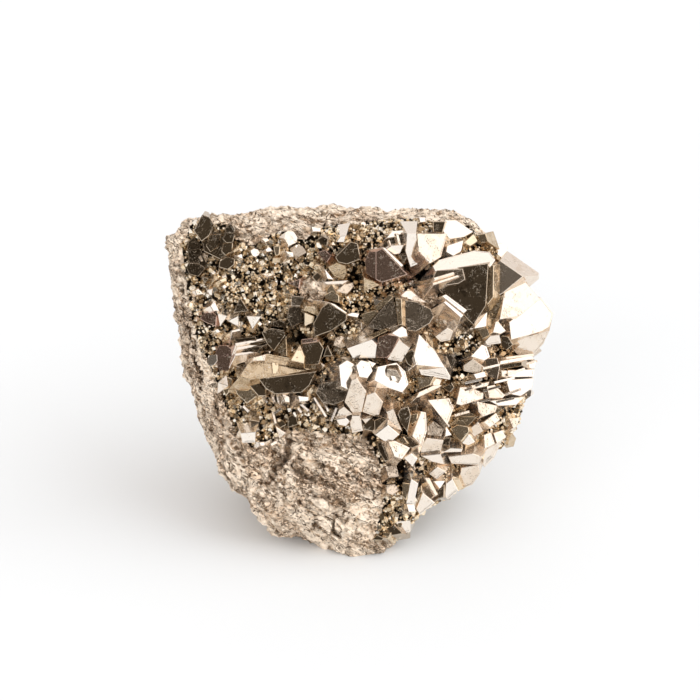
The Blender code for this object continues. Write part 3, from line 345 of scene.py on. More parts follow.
def keep_in_box(piece):
    """Cut off what would reach past the solid model's box, and close the cuts."""
    select_only(piece)
    low = Vector(CAD_LOW) - FOOTPRINT_SHIFT
    high = Vector(CAD_HIGH) - FOOTPRINT_SHIFT
    planes = []
    for axis in Matrix.Identity(3):
        planes += [(low, -axis), (high, axis)]
    cut_along(planes, CUT_TOLERANCE)


bpy.ops.object.empty_add(rotation=(0, STREAK_TURN, 0))
streaks = bpy.context.object
streaks.scale = RIDGE_STRETCH
bpy.context.view_layer.update()
roughen(rock, "Ridges", size=2.4 * MM, height=1.7 * MM, level=0.42, noise="HARD_NOISE", along=streaks)
roughen(rock, "Chips", size=1.3 * MM, height=-1.0 * MM, level=0.40, noise="HARD_NOISE")
roughen(rock, "Pits", size=0.7 * MM, height=0.6 * MM, level=0.6)
apply_modifiers(rock)
bpy.data.objects.remove(streaks)
keep_in_box(rock)
print("the rock has", len(rock.data.polygons), "faces")

# %% [markdown]
# ## Where the crust is
# The crystals cover only the front. We paint that onto the rock as a number on each vertex, 1 on the
# crust, less in its hollows and 0 on the bare rock, as one would with a weight brush. The fine
# crystals are scattered by this number later, and the rock's material reads it too: it paints the
# rock under the crust near black, as painted shade between the crystals, and the thinner crust in
# the hollows lets more of that painted shade show.

# %% Paint the crust onto the rock
CRUST_FACING = 0.1
HOLLOW_CRUST = 0.25
CRUST_OUTLINE = (
    (-36, 27), (-33.5, 32.5), (-20, 29.5), (-8, 31), (10, 33), (22, 31), (33, 22), (37, 12), (35, 0),
    (31, -11), (20, -22), (11, -28), (9, -33), (3, -32), (5, -25), (5, -18), (1, -11), (-13, -9.5),
    (-22, -13.5), (-25.5, -9), (-28, -2), (-33, 9), (-34.5, 17),
)
# Each row: u, v and radius.
BARE_PATCHES = (
    (-9.5, 18.5, 3.0), (13.4, 17.2, 2.6), (17.2, 12.9, 2.4), (-22, 32.5, 5.0), (-12, 32.0, 3.5),
)


def inside_outline(u, v):
    """Inside, a line to the right crosses the outline's sides an odd number of times."""
    inside = False
    for (u0, v0), (u1, v1) in zip(CRUST_OUTLINE, CRUST_OUTLINE[1:] + CRUST_OUTLINE[:1]):
        if (v0 > v) != (v1 > v) and u < u0 + (v - v0) * (u1 - u0) / (v1 - v0):
            inside = not inside
    return inside


def on_sheet(point):
    """Where a point shows on the sheet, seen from the layout point."""
    offset = SHEET_AXES.transposed() @ (point - SHEET_MIDDLE)
    spread = (1 - offset.z / LAYOUT_DISTANCE) * MM
    return offset.x / spread, offset.y / spread


def is_bare(u, v):
    return any(math.dist((u, v), (x, y)) < radius for x, y, radius in BARE_PATCHES)


crust = rock.data.attributes.new("crust", "FLOAT", "POINT")
for vertex in rock.data.vertices:
    u, v = on_sheet(vertex.co)
    covered = vertex.normal.dot(OUT) > CRUST_FACING and inside_outline(u, v) and not is_bare(u, v)
    hollow = any(math.dist((u, v), (x, y)) < radius for x, y, radius, _ in HOLLOWS)
    crust.data[vertex.index].value = (HOLLOW_CRUST if hollow else 1.0) if covered else 0.0
print(sum(mark.value for mark in crust.data), "vertices carry crust")

# %% [markdown]
# ## The shapes of the crystals
# Pyrite grows as octahedra, as cubes and as shapes between the two. For the small crystals, three
# shapes are enough, each modelled once to fill a box of one unit: an octahedron with one triangle to
# the front, an octahedron with one point to the front, and a cube with some of its corners cut. An
# octahedron is a sphere with four segments and two rings, and the cube's corners are cut with bisect.

# %% Model one crystal of each shape
# Each row: a corner of the cube, and how far out it is cut, as a share of the way to it.
CORNER_CUTS = (
    ((1, 1, 1), 0.74), ((-1, 1, 1), 0.93), ((-1, -1, 1), 0.80), ((1, -1, 1), 0.97), ((1, 1, -1), 0.85),
)
shapes = {}

bpy.ops.object.select_all(action="DESELECT")
bpy.ops.mesh.primitive_uv_sphere_add(segments=4, ring_count=2, radius=0.5)
shapes["point"] = bpy.context.object

face_out = Vector((1, 1, 1)).normalized()
face_up = Vector((-1, -1, 2)).normalized()
stand_up = Matrix((face_up.cross(face_out), face_up, face_out))
bpy.ops.mesh.primitive_uv_sphere_add(
    segments=4, ring_count=2, radius=0.5, rotation=stand_up.to_euler())
shapes["tri"] = bpy.context.object
settle(shapes["tri"])
shapes["tri"].scale = (math.sqrt(2), 4 / math.sqrt(6), math.sqrt(3))
settle(shapes["tri"])

bpy.ops.mesh.primitive_cube_add(size=1)
shapes["block"] = bpy.context.object
corner_facings = [(Vector(corner).normalized(), reach) for corner, reach in CORNER_CUTS]
cut_along([(facing * reach * math.sqrt(3) / 2, facing) for facing, reach in corner_facings])
print({form: len(shape.data.polygons) for form, shape in shapes.items()}, "faces")

# %% [markdown]
# ## The large crystals, facet by facet
# Each row is one crystal, told by the facet that it shows: how the facet faces, how far it stands off
# the rock in millimetres, and its corners on the sheet. How a crystal faces matters most of all for
# its look, because each facet is a mirror: one that faces the viewer stays dark, one that is turned to
# the right or up is bright, and one that looks down is the colour of the floor. The rows are grouped
# by finish: silver, smoky, etched, brassy and plum. Silver is paler than the pyrite and goes mostly to
# crystals that mirror the bright room and floor, a painted highlight; smoky is darker and goes mostly
# to crystals that face the viewer, partly tarnish and partly painted shade.

# %% The silver crystals, paler than the pyrite: partly painted highlight
LIT_SILVER_ROWS = (
    ("down", 1.8, (-28.8, 13.6), (-26.9, 13.1), (-28.3, 11.0)),
    ("down", 1.8, (-26.8, 12.2), (-24.7, 13.2), (-24.5, 10.8)),
    ("down", 2.0, (-23.0, 13.1), (-20.0, 13.0), (-21.8, 10.4)),
    ("right", 1.3, (-33.4, 18.3), (-32.8, 18.8), (-31.5, 17.6), (-33.1, 17.4)),
    ("down", 1.2, (-31.0, 18.4), (-29.9, 18.6), (-29.9, 17.3), (-30.6, 17.5)),
    ("right", 1.5, (-29.5, 16.4), (-28.5, 14.2), (-29.7, 14.2), (-30.3, 15.1)),
    ("right", 1.2, (-29.4, 10.3), (-28.8, 10.6), (-28.2, 10.0), (-28.9, 9.7)),
    ("right", 1.2, (-25.0, 25.4), (-23.9, 25.8), (-23.7, 24.8)),
    ("right", 1.2, (-19.2, 26.6), (-18.4, 27.2), (-17.5, 26.4), (-18.9, 26.2)),
    ("right", 1.2, (-19.9, 28.9), (-18.7, 29.0), (-18.3, 28.4), (-19.1, 28.1)),
    ("right", 1.4, (-15.2, 26.4), (-13.5, 26.1), (-13.4, 25.2), (-14.4, 25.2)),
    ("rise", 1.2, (-19.8, 21.8), (-18.2, 21.9), (-17.3, 21.6), (-18.7, 21.0)),
    ("right", 1.2, (-18.4, 15.6), (-16.9, 15.5), (-17.6, 14.9)),
    ("right", 1.2, (-27.9, 19.2), (-27.4, 19.6), (-26.9, 19.1), (-27.5, 18.6)),
    ("right", 1.6, (-9.9, 31.3), (-7.9, 31.0), (-8.0, 30.2), (-9.6, 30.3)),
    ("down", 1.8, (-4.8, 28.1), (-4.0, 29.3), (-2.8, 29.5), (-3.2, 28.1)),
    ("right", 2.0, (-7.2, 22.8), (-5.3, 20.5), (-6.6, 20.8)),
    ("up", 2.2, (-7.4, 20.1), (-2.4, 20.4), (-3.5, 19.7), (-6.8, 19.6)),
    ("right", 2.7, (5.7, 28.4), (6.0, 28.7), (6.5, 27.3), (6.1, 27.2)),
    ("right", 2.7, (7.2, 29.9), (7.8, 29.9), (8.4, 27.5), (7.8, 27.4)),
    ("right", 2.7, (8.9, 30.1), (9.5, 30.1), (9.8, 27.8), (9.4, 27.7)),
    ("rise", 2.6, (5.4, 29.0), (6.6, 30.4), (9.6, 30.6), (9.3, 29.8), (6.6, 29.2)),
    ("down", 2.2, (5.2, 26.7), (6.3, 27.4), (8.8, 27.5), (8.1, 25.8), (7.0, 25.6)),
    ("rise", 3.9, (4.4, 27.1), (5.1, 27.0), (8.8, 23.5), (8.3, 23.1)),
    ("down", 2.6, (9.6, 29.9), (11.3, 29.9), (12.8, 24.1), (10.2, 23.0), (9.2, 26.2)),
    ("right", 3.4, (11.5, 29.9), (17.7, 29.8), (16.4, 25.1), (14.2, 23.8), (11.8, 26.4)),
    ("right", 1.8, (11.9, 33.2), (13.3, 33.2), (13.2, 32.2), (12.2, 32.1)),
    ("rise", 2.0, (17.3, 32.6), (19.5, 32.6), (23.0, 30.2), (21.3, 29.3), (18.2, 28.8), (16.9, 30.2)),
    ("right", 2.6, (17.7, 27.4), (21.0, 28.5), (20.5, 26.3), (19.0, 25.4), (17.5, 26.2)),
    ("rise", 1.8, (27.6, 27.8), (29.1, 28.0), (30.0, 27.2), (29.6, 25.3), (27.6, 25.0), (25.9, 26.7)),
    ("up", 4.3, (14.7, 23.3), (16.0, 24.6), (23.3, 26.5), (26.2, 26.2), (27.4, 24.6), (26.5, 23.3),
     (15.2, 22.2)),
    ("rise", 4.4, (16.6, 17.2), (17.4, 17.6), (21.7, 14.4), (21.0, 13.7)),
    ("rise", 4.0, (16.9, 15.9), (17.4, 16.3), (21.0, 13.4), (20.4, 12.8)),
    ("right", 3.6, (24.6, 14.6), (25.9, 14.9), (25.6, 11.1), (22.3, 10.5)),
    ("rise", 1.6, (8.1, 17.2), (9.3, 18.3), (10.4, 18.3), (13.4, 16.0), (11.3, 16.1)),
    ("right", 2.4, (-2.9, 13.4), (-1.4, 13.9), (-0.1, 13.7), (-0.4, 12.9)),
    ("rise", 3.9, (-6.5, 16.0), (-5.1, 15.6), (-2.6, 13.9), (-2.8, 13.4)),
    ("rise", 3.9, (-21.6, 4.8), (-18.9, 5.5), (-19.2, 4.2), (-21.8, 4.1)),
    ("up", 2.6, (-26.2, 10.2), (-24.4, 10.7), (-24.2, 10.3), (-26.0, 9.9)),
    ("up", 2.7, (-25.3, 7.7), (-19.2, 8.8), (-19.0, 8.4), (-25.2, 7.2)),
    ("up", 2.8, (-25.0, 6.9), (-19.2, 7.8), (-19.2, 7.4), (-25.0, 6.4)),
    ("up", 2.8, (-25.3, 5.6), (-21.4, 6.1), (-20.6, 5.8), (-25.3, 5.1)),
    ("down", 3.6, (-2.6, 6.6), (2.4, 8.4), (3.4, 7.3), (3.1, 4.7), (-1.4, 4.6)),
    ("right", 3.8, (6.5, 9.7), (8.5, 11.1), (9.4, 10.5), (9.7, 9.1), (8.0, 8.9)),
    ("down", 3.6, (4.6, 10.4), (5.0, 11.2), (8.3, 11.3), (6.4, 9.9)),
    ("down", 3.4, (7.9, 8.3), (10.1, 6.7), (8.4, 3.9), (5.6, 4.4)),
    ("right", 4.2, (-4.3, 3.1), (-2.6, 4.2), (-1.2, 3.4), (-2.4, -1.7), (-3.9, -1.0)),
    ("right", 4.0, (-0.8, 3.1), (0.2, 4.2), (2.0, 3.8), (2.6, 2.0), (1.6, 0.6), (-0.2, 0.9)),
    ("right", 3.8, (1.6, 4.2), (3.4, 3.6), (2.5, 2.7)),
    ("down", 4.6, (-1.6, 0.2), (-0.7, 0.6), (1.3, -2.2), (0.4, -6.3), (-1.4, -6.6), (-3.1, -4.3)),
    ("down", 4.4, (1.4, -2.8), (3.0, -2.3), (4.7, -4.3), (3.7, -7.5), (0.5, -6.3)),
    ("right", 3.4, (3.6, 2.9), (7.4, 3.8), (9.2, 2.0), (9.9, -0.7), (8.6, -2.3), (5.9, -1.4), (2.9, 0.2)),
    ("right", 3.9, (6.1, 1.2), (7.2, 1.0), (7.6, 0.0), (6.5, 0.1)),
    ("right", 4.2, (12.0, 9.5), (15.3, 6.1), (17.3, 2.7), (11.3, 3.3), (10.9, 5.0)),
    ("down", 4.0, (11.4, 3.2), (17.3, 2.7), (18.3, 0.9), (18.2, 0.2), (12.4, 1.2)),
    ("down", 2.8, (15.2, 9.0), (17.6, 10.8), (18.9, 10.1), (18.2, 8.2), (16.3, 7.9)),
    ("rise", 3.2, (11.3, -3.5), (12.0, -2.2), (15.7, -0.5), (16.6, -0.9), (15.8, -1.4)),
    ("right", 2.8, (14.5, 0.7), (16.7, 0.4), (16.2, -0.8), (14.8, -1.0)),
    ("right", 2.6, (-8.0, 3.8), (-7.0, 3.2), (-7.6, 2.6)),
    ("right", 2.6, (-15.9, -2.4), (-14.3, -3.2), (-14.2, -4.3), (-15.2, -4.2)),
    ("right", 2.6, (-12.6, -3.0), (-10.3, -3.2), (-10.5, -4.0), (-12.3, -4.1)),
    ("down", 1.9, (-24.2, -10.6), (-21.1, -10.3), (-21.2, -12.5), (-23.8, -12.6)),
    ("down", 1.8, (-17.1, -9.3), (-15.0, -10.6), (-16.4, -11.8)),
    ("right", 1.2, (-20.5, -12.4), (-19.3, -12.3), (-19.2, -13.0), (-20.2, -13.2)),
    ("right", 1.2, (-18.2, -12.7), (-16.9, -12.0), (-16.6, -12.6), (-17.9, -13.3)),
    ("down", 3.6, (-1.5, -7.0), (0.0, -7.0), (0.7, -10.1), (-1.6, -10.6), (-2.0, -8.6)),
    ("down", 3.0, (-4.8, -7.8), (-2.9, -7.5), (-2.0, -8.2), (-2.8, -9.2), (-4.3, -8.9)),
    ("down", 3.2, (-4.8, -7.2), (-4.2, -5.8), (-3.3, -5.2), (-1.5, -6.7), (-3.4, -7.5)),
    ("down", 3.2, (0.3, -7.7), (2.4, -7.5), (1.1, -8.7)),
    ("down", 4.0, (3.0, -10.9), (5.6, -8.9), (8.0, -10.9), (6.4, -12.3), (4.8, -12.2)),
    ("down", 3.6, (5.4, -6.2), (6.7, -5.7), (8.6, -10.2), (7.4, -10.0), (5.8, -7.8)),
    ("right", 3.8, (12.4, -6.1), (13.4, -6.3), (13.6, -10.0), (12.7, -13.1), (10.6, -11.1)),
    ("right", 3.8, (5.7, -12.3), (7.2, -12.1), (10.2, -13.5), (8.5, -15.8), (6.9, -15.2)),
    ("down", 3.0, (8.8, -15.6), (10.3, -14.7), (11.7, -15.8), (10.7, -17.4)),
    ("down", 3.2, (12.2, -13.6), (13.5, -11.6), (16.9, -12.0), (16.2, -14.7), (12.5, -15.2)),
    ("down", 2.8, (12.4, -15.2), (16.3, -14.8), (17.0, -16.9), (14.6, -16.4)),
    ("right", 3.8, (13.8, -3.9), (18.1, -3.5), (19.0, -5.4), (17.7, -8.9)),
    ("right", 3.0, (17.5, -9.2), (18.6, -10.9), (17.2, -11.2)),
    ("down", 3.2, (22.0, -9.8), (23.9, -8.3), (24.9, -10.2), (23.2, -11.3)),
    ("down", 3.2, (22.0, -10.8), (23.3, -12.4), (22.0, -13.1), (20.6, -12.6)),
    ("down", 2.6, (16.5, -14.5), (18.3, -13.6), (20.8, -13.7), (20.6, -14.4)),
    ("down", 2.8, (17.9, -15.4), (22.8, -14.7), (24.8, -15.4), (23.9, -17.0), (18.6, -16.8)),
    ("down", 2.6, (20.6, -17.6), (23.9, -17.0), (24.3, -18.8), (22.8, -21.0), (21.0, -21.8),
     (20.0, -19.8)),
    ("down", 2.4, (23.7, -14.1), (25.2, -13.2), (28.8, -12.0), (27.2, -15.6), (25.2, -17.6)),
    ("down", 2.8, (13.9, -18.8), (15.6, -17.4), (17.4, -18.4), (15.5, -20.0)),
    ("down", 3.0, (10.4, -19.9), (11.8, -20.8), (10.9, -25.0), (9.4, -24.9)),
    ("right", 2.6, (9.5, -25.0), (10.9, -25.0), (11.3, -26.4), (9.9, -26.5)),
    ("down", 2.8, (12.7, -22.7), (15.2, -24.7), (12.2, -27.2), (11.4, -26.0)),
    ("right", 2.8, (13.1, -19.6), (14.1, -19.6), (15.8, -23.0), (15.2, -23.2)),
    ("right", 2.6, (15.0, -20.3), (17.3, -20.2), (16.2, -21.8)),
    ("down", 2.2, (17.4, -20.8), (18.7, -19.8), (19.9, -22.2), (17.8, -24.0), (17.2, -23.4)),
    ("down", 1.8, (7.0, -28.5), (10.2, -28.2), (10.2, -30.6), (8.6, -31.0)),
    ("right", 3.0, (29.2, 17.8), (32.9, 20.8), (36.5, 16.6), (32.4, 13.2), (28.3, 12.5)),
    ("right", 3.3, (32.3, 13.6), (36.6, 17.0), (39.2, 13.6), (38.2, 10.4), (30.6, 8.4), (30.2, 11.9)),
    ("down", 2.8, (30.9, 8.2), (38.4, 10.2), (37.2, 7.6), (35.2, 5.3), (32.6, 4.6), (30.1, 7.2)),
    ("right", 3.4, (27.6, 12.6), (29.6, 10.2), (28.6, 9.6), (26.9, 9.9)),
    ("down", 3.0, (25.3, 8.0), (26.3, 9.1), (28.2, 9.3), (28.6, 7.6), (25.7, 7.2)),
    ("right", 3.2, (22.5, 5.0), (24.7, 7.4), (25.7, 7.0), (26.4, 4.9), (25.3, 4.2)),
    ("right", 3.0, (28.3, 3.3), (28.4, 4.1), (34.9, 5.2), (35.2, 4.5)),
    ("right", 2.8, (32.4, 3.3), (35.7, 4.1), (35.5, 2.7), (32.2, 2.4)),
    ("right", 3.0, (29.9, 2.2), (35.4, 2.4), (35.2, 0.9), (30.0, 0.8)),
    ("right", 2.9, (28.6, 2.2), (29.8, 2.1), (30.0, 0.6), (28.7, 0.9)),
    ("right", 3.1, (29.6, 0.2), (35.2, 0.6), (34.9, -1.4), (32.6, -3.0), (30.4, -2.6)),
    ("right", 2.6, (23.0, 1.4), (25.3, 2.0), (25.6, 0.9), (23.5, 0.4)),
    ("right", 3.2, (22.5, -0.9), (26.3, -0.1), (25.9, -1.0), (22.8, -1.6)),
    ("right", 3.2, (20.3, -1.2), (22.2, -1.2), (25.1, -2.4), (25.0, -3.6), (20.6, -4.9), (19.5, -4.6)),
    ("right", 3.2, (25.7, -1.1), (27.3, -0.8), (29.4, -2.9), (28.9, -3.4), (26.2, -3.4)),
    ("right", 2.8, (26.4, -4.0), (30.2, -3.5), (33.4, -3.2), (31.7, -4.8), (28.1, -5.0)),
    ("right", 3.2, (23.6, -4.1), (27.8, -5.0), (27.5, -6.2), (25.0, -7.2), (24.0, -6.2)),
    ("right", 2.6, (25.1, -8.3), (27.6, -6.4), (28.4, -7.8), (26.4, -9.4)),
    ("right", 1.8, (30.2, -7.6), (32.4, -7.3), (31.8, -9.2), (31.0, -9.6)),
    ("right", 2.2, (27.0, -10.6), (28.9, -9.9), (29.6, -11.4), (27.7, -12.7)),
    ("right", 2.4, (25.1, -10.9), (26.6, -10.4), (27.4, -12.7), (25.2, -13.7)),
)
print(len(LIT_SILVER_ROWS), "silver crystals")

# %% The smoky crystals, darker than the pyrite: partly tarnish, partly painted shade
SHADED_SMOKY_ROWS = (
    ("viewer", 1.5, (-32.0, 33.7), (-30.5, 33.2), (-29.6, 31.8), (-30.5, 29.6), (-32.1, 28.3),
     (-33.7, 30.5)),
    ("viewer", 1.4, (-34.8, 28.2), (-33.8, 29.0), (-32.4, 27.9), (-32.4, 26.9), (-33.5, 26.0),
     (-35.0, 26.7)),
    ("viewer", 1.4, (-34.8, 23.9), (-33.0, 23.9), (-31.3, 22.9), (-32.8, 21.2), (-34.6, 21.7),
     (-35.2, 23.0)),
    ("viewer", 1.6, (-30.5, 29.7), (-28.1, 29.8), (-28.7, 27.2), (-30.3, 26.1), (-31.2, 27.4)),
    ("viewer", 2.2, (-27.3, 31.0), (-26.2, 31.9), (-25.4, 30.9), (-25.5, 30.0), (-27.2, 30.0)),
    ("viewer", 2.0, (-27.3, 29.8), (-25.3, 29.8), (-25.8, 28.1), (-27.1, 28.0), (-27.8, 28.8)),
    ("viewer", 1.6, (-27.7, 27.9), (-25.8, 28.0), (-25.9, 26.5), (-27.2, 25.4), (-28.1, 26.3)),
    ("viewer", 1.5, (-28.4, 24.3), (-27.0, 25.2), (-25.4, 24.7), (-25.5, 23.6), (-26.8, 22.6),
     (-28.6, 23.1)),
    ("viewer", 2.0, (-24.3, 16.9), (-22.6, 14.2), (-25.6, 13.9)),
    ("left", 1.8, (-8.5, 28.8), (-7.6, 29.4), (-6.5, 28.8), (-6.7, 27.4), (-8.1, 27.6)),
    ("viewer", 2.8, (-5.0, 25.1), (-1.9, 28.2), (-0.5, 27.8), (0.1, 24.7), (-2.7, 23.7), (-4.4, 24.1)),
    ("viewer", 1.6, (-8.6, 22.1), (-7.7, 21.1), (-8.9, 20.1), (-9.7, 21.1)),
    ("viewer", 2.3, (4.3, 27.1), (5.8, 29.2), (9.2, 30.0), (9.5, 27.8), (8.7, 27.4)),
    ("viewer", 1.6, (14.9, 32.3), (17.3, 32.3), (16.7, 30.0), (14.8, 30.2)),
    ("viewer", 4.6, (14.4, 20.2), (15.2, 22.4), (26.0, 23.8), (25.5, 15.3), (23.0, 11.4)),
    ("viewer", 4.0, (20.2, 12.7), (22.6, 13.6), (23.0, 11.4), (22.2, 10.4)),
    ("left", 3.8, (27.2, 23.4), (28.4, 24.4), (33.0, 21.2), (28.9, 17.8), (27.1, 16.8)),
    ("left", 2.6, (29.4, 25.6), (30.0, 25.6), (31.6, 23.4), (30.6, 22.9), (29.3, 23.4)),
    ("viewer", 3.8, (-7.7, 14.9), (-6.4, 15.8), (-2.7, 13.5), (-2.8, 12.3), (-5.9, 10.2), (-9.2, 9.0),
     (-9.4, 11.6)),
    ("viewer", 2.6, (-19.9, 9.9), (-18.0, 10.7), (-15.4, 10.2), (-15.1, 9.4), (-17.5, 6.1),
     (-18.8, 7.6)),
    ("viewer", 2.0, (-18.2, 11.2), (-17.8, 11.9), (-16.6, 12.3), (-15.2, 12.0), (-15.1, 10.8)),
    ("viewer", 2.5, (-25.4, 8.5), (-21.2, 9.0), (-21.0, 8.4), (-25.0, 7.8)),
    ("viewer", 2.5, (-22.4, 7.7), (-18.9, 8.3), (-19.0, 7.8), (-22.2, 7.2)),
    ("left", 2.5, (-24.8, 6.4), (-19.5, 7.2), (-20.6, 6.2), (-24.8, 5.6)),
    ("viewer", 4.4, (-20.5, 0.4), (-9.0, 1.9), (-10.3, -0.9), (-11.9, -2.3), (-17.2, -2.6),
     (-19.0, -1.6)),
    ("viewer", 4.2, (-22.4, -0.2), (-21.4, 0.4), (-19.2, -1.8), (-19.0, -3.0), (-20.6, -3.0),
     (-22.3, -1.0)),
    ("left", 2.6, (-12.0, 8.2), (-8.6, 8.5), (-7.4, 6.6), (-8.4, 3.4), (-11.3, 3.2)),
    ("viewer", 2.4, (-6.6, 7.3), (-5.6, 5.1), (-7.4, 5.0)),
    ("viewer", 1.9, (-16.8, -8.6), (-15.7, -7.9), (-14.9, -8.8), (-16.2, -9.5)),
    ("viewer", 2.0, (-14.6, -7.3), (-13.0, -6.6), (-12.6, -8.8), (-14.6, -9.4)),
    ("viewer", 3.0, (8.8, 5.3), (10.5, 6.5), (10.9, 6.0), (10.5, 2.9), (9.6, 3.5)),
    ("viewer", 3.2, (2.9, -8.0), (4.6, -7.3), (5.9, -7.9), (5.3, -9.0), (3.0, -10.2)),
    ("viewer", 2.8, (0.6, -8.9), (2.7, -7.6), (2.9, -10.2), (0.8, -9.8)),
    ("viewer", 4.0, (7.7, -6.6), (8.3, -5.6), (9.8, -5.2), (10.3, -7.0), (9.6, -10.3), (8.3, -8.4)),
    ("viewer", 3.2, (8.3, -10.8), (9.2, -10.9), (11.8, -13.1), (10.6, -13.6), (8.6, -12.4)),
    ("viewer", 2.6, (17.2, -11.5), (18.5, -11.5), (18.0, -13.0), (16.7, -13.0)),
    ("viewer", 2.0, (3.6, -12.4), (5.3, -12.5), (6.6, -15.5), (5.1, -16.3), (3.8, -14.2)),
    ("viewer", 1.9, (6.9, -29.1), (8.7, -30.9), (6.5, -31.3), (5.3, -29.9)),
    ("left", 1.5, (2.3, -32.2), (3.4, -31.2), (4.8, -31.8), (4.5, -32.3)),
    ("left", 3.2, (28.7, 9.2), (30.0, 9.0), (31.0, 7.4), (29.6, 6.2), (28.5, 7.4)),
    ("left", 2.8, (27.8, 3.2), (32.8, 3.9), (32.9, 3.1), (27.9, 2.2)),
    ("viewer", 2.4, (15.5, -22.1), (17.1, -21.0), (17.0, -23.6), (16.0, -23.8)),
    ("viewer", 2.4, (16.7, -1.3), (18.5, -0.3), (19.1, -1.3), (18.2, -2.3)),
    ("viewer", 1.8, (-25.0, 4.5), (-22.9, 4.9), (-23.6, 3.4), (-25.0, 3.1)),
)
print(len(SHADED_SMOKY_ROWS), "smoky crystals")

# %% The etched, brassy and plum crystals
ETCHED_ROWS = (
    ("right", 1.5, (-32.8, 25.1), (-31.5, 26.1), (-30.7, 25.5), (-31.0, 24.4), (-32.2, 24.2)),
    ("right", 1.8, (-4.7, 18.3), (-3.4, 19.5), (-1.3, 20.0), (-1.1, 19.2), (-2.5, 17.7), (-3.8, 17.9)),
    ("viewer", 2.0, (-14.4, 14.8), (-12.1, 15.5), (-11.7, 11.9), (-13.7, 11.0), (-14.8, 12.8)),
    ("viewer", 1.9, (-13.9, 17.3), (-11.2, 17.0), (-12.1, 15.2), (-13.9, 15.2)),
    ("viewer", 3.8, (6.6, 17.2), (8.0, 12.0), (6.3, 11.0), (4.4, 10.3), (1.5, 11.0)),
    ("viewer", 3.9, (8.9, 16.4), (11.5, 16.0), (14.3, 14.6), (14.9, 13.1), (14.1, 11.7), (11.3, 10.1),
     (9.6, 10.3), (8.5, 13.0)),
    ("viewer", 4.8, (14.6, 20.6), (15.5, 22.4), (20.8, 22.7), (21.3, 20.6), (20.0, 19.8), (16.0, 19.2)),
    ("viewer", 2.8, (-8.9, -2.4), (-8.2, -0.6), (-4.5, 0.2), (-2.6, -2.1), (-3.2, -3.9), (-5.4, -4.8),
     (-7.6, -4.3)),
    ("viewer", 2.6, (16.4, 5.5), (18.4, 5.5), (19.4, 4.2), (18.4, 2.0), (17.3, 3.2)),
    ("down", 3.7, (5.6, 2.5), (7.4, 2.2), (8.3, 0.6), (7.6, -0.8), (6.1, -0.4), (5.2, 1.1)),
    ("right", 2.6, (13.7, -9.2), (15.0, -8.1), (17.0, -9.7), (16.5, -11.2), (13.7, -10.9)),
    ("left", 2.6, (25.3, 4.5), (27.8, 4.7), (28.3, 2.7), (27.8, 0.2), (25.6, 1.2)),
    ("down", 2.2, (21.0, 3.2), (22.8, 4.5), (25.3, 2.7), (23.8, 1.4), (21.0, 2.0)),
    ("right", 1.8, (5.3, -21.1), (7.1, -20.8), (8.1, -22.1), (6.6, -23.1), (5.3, -22.6)),
    ("right", 1.8, (5.1, -17.3), (7.4, -17.0), (7.9, -19.3), (5.8, -19.6)),
)
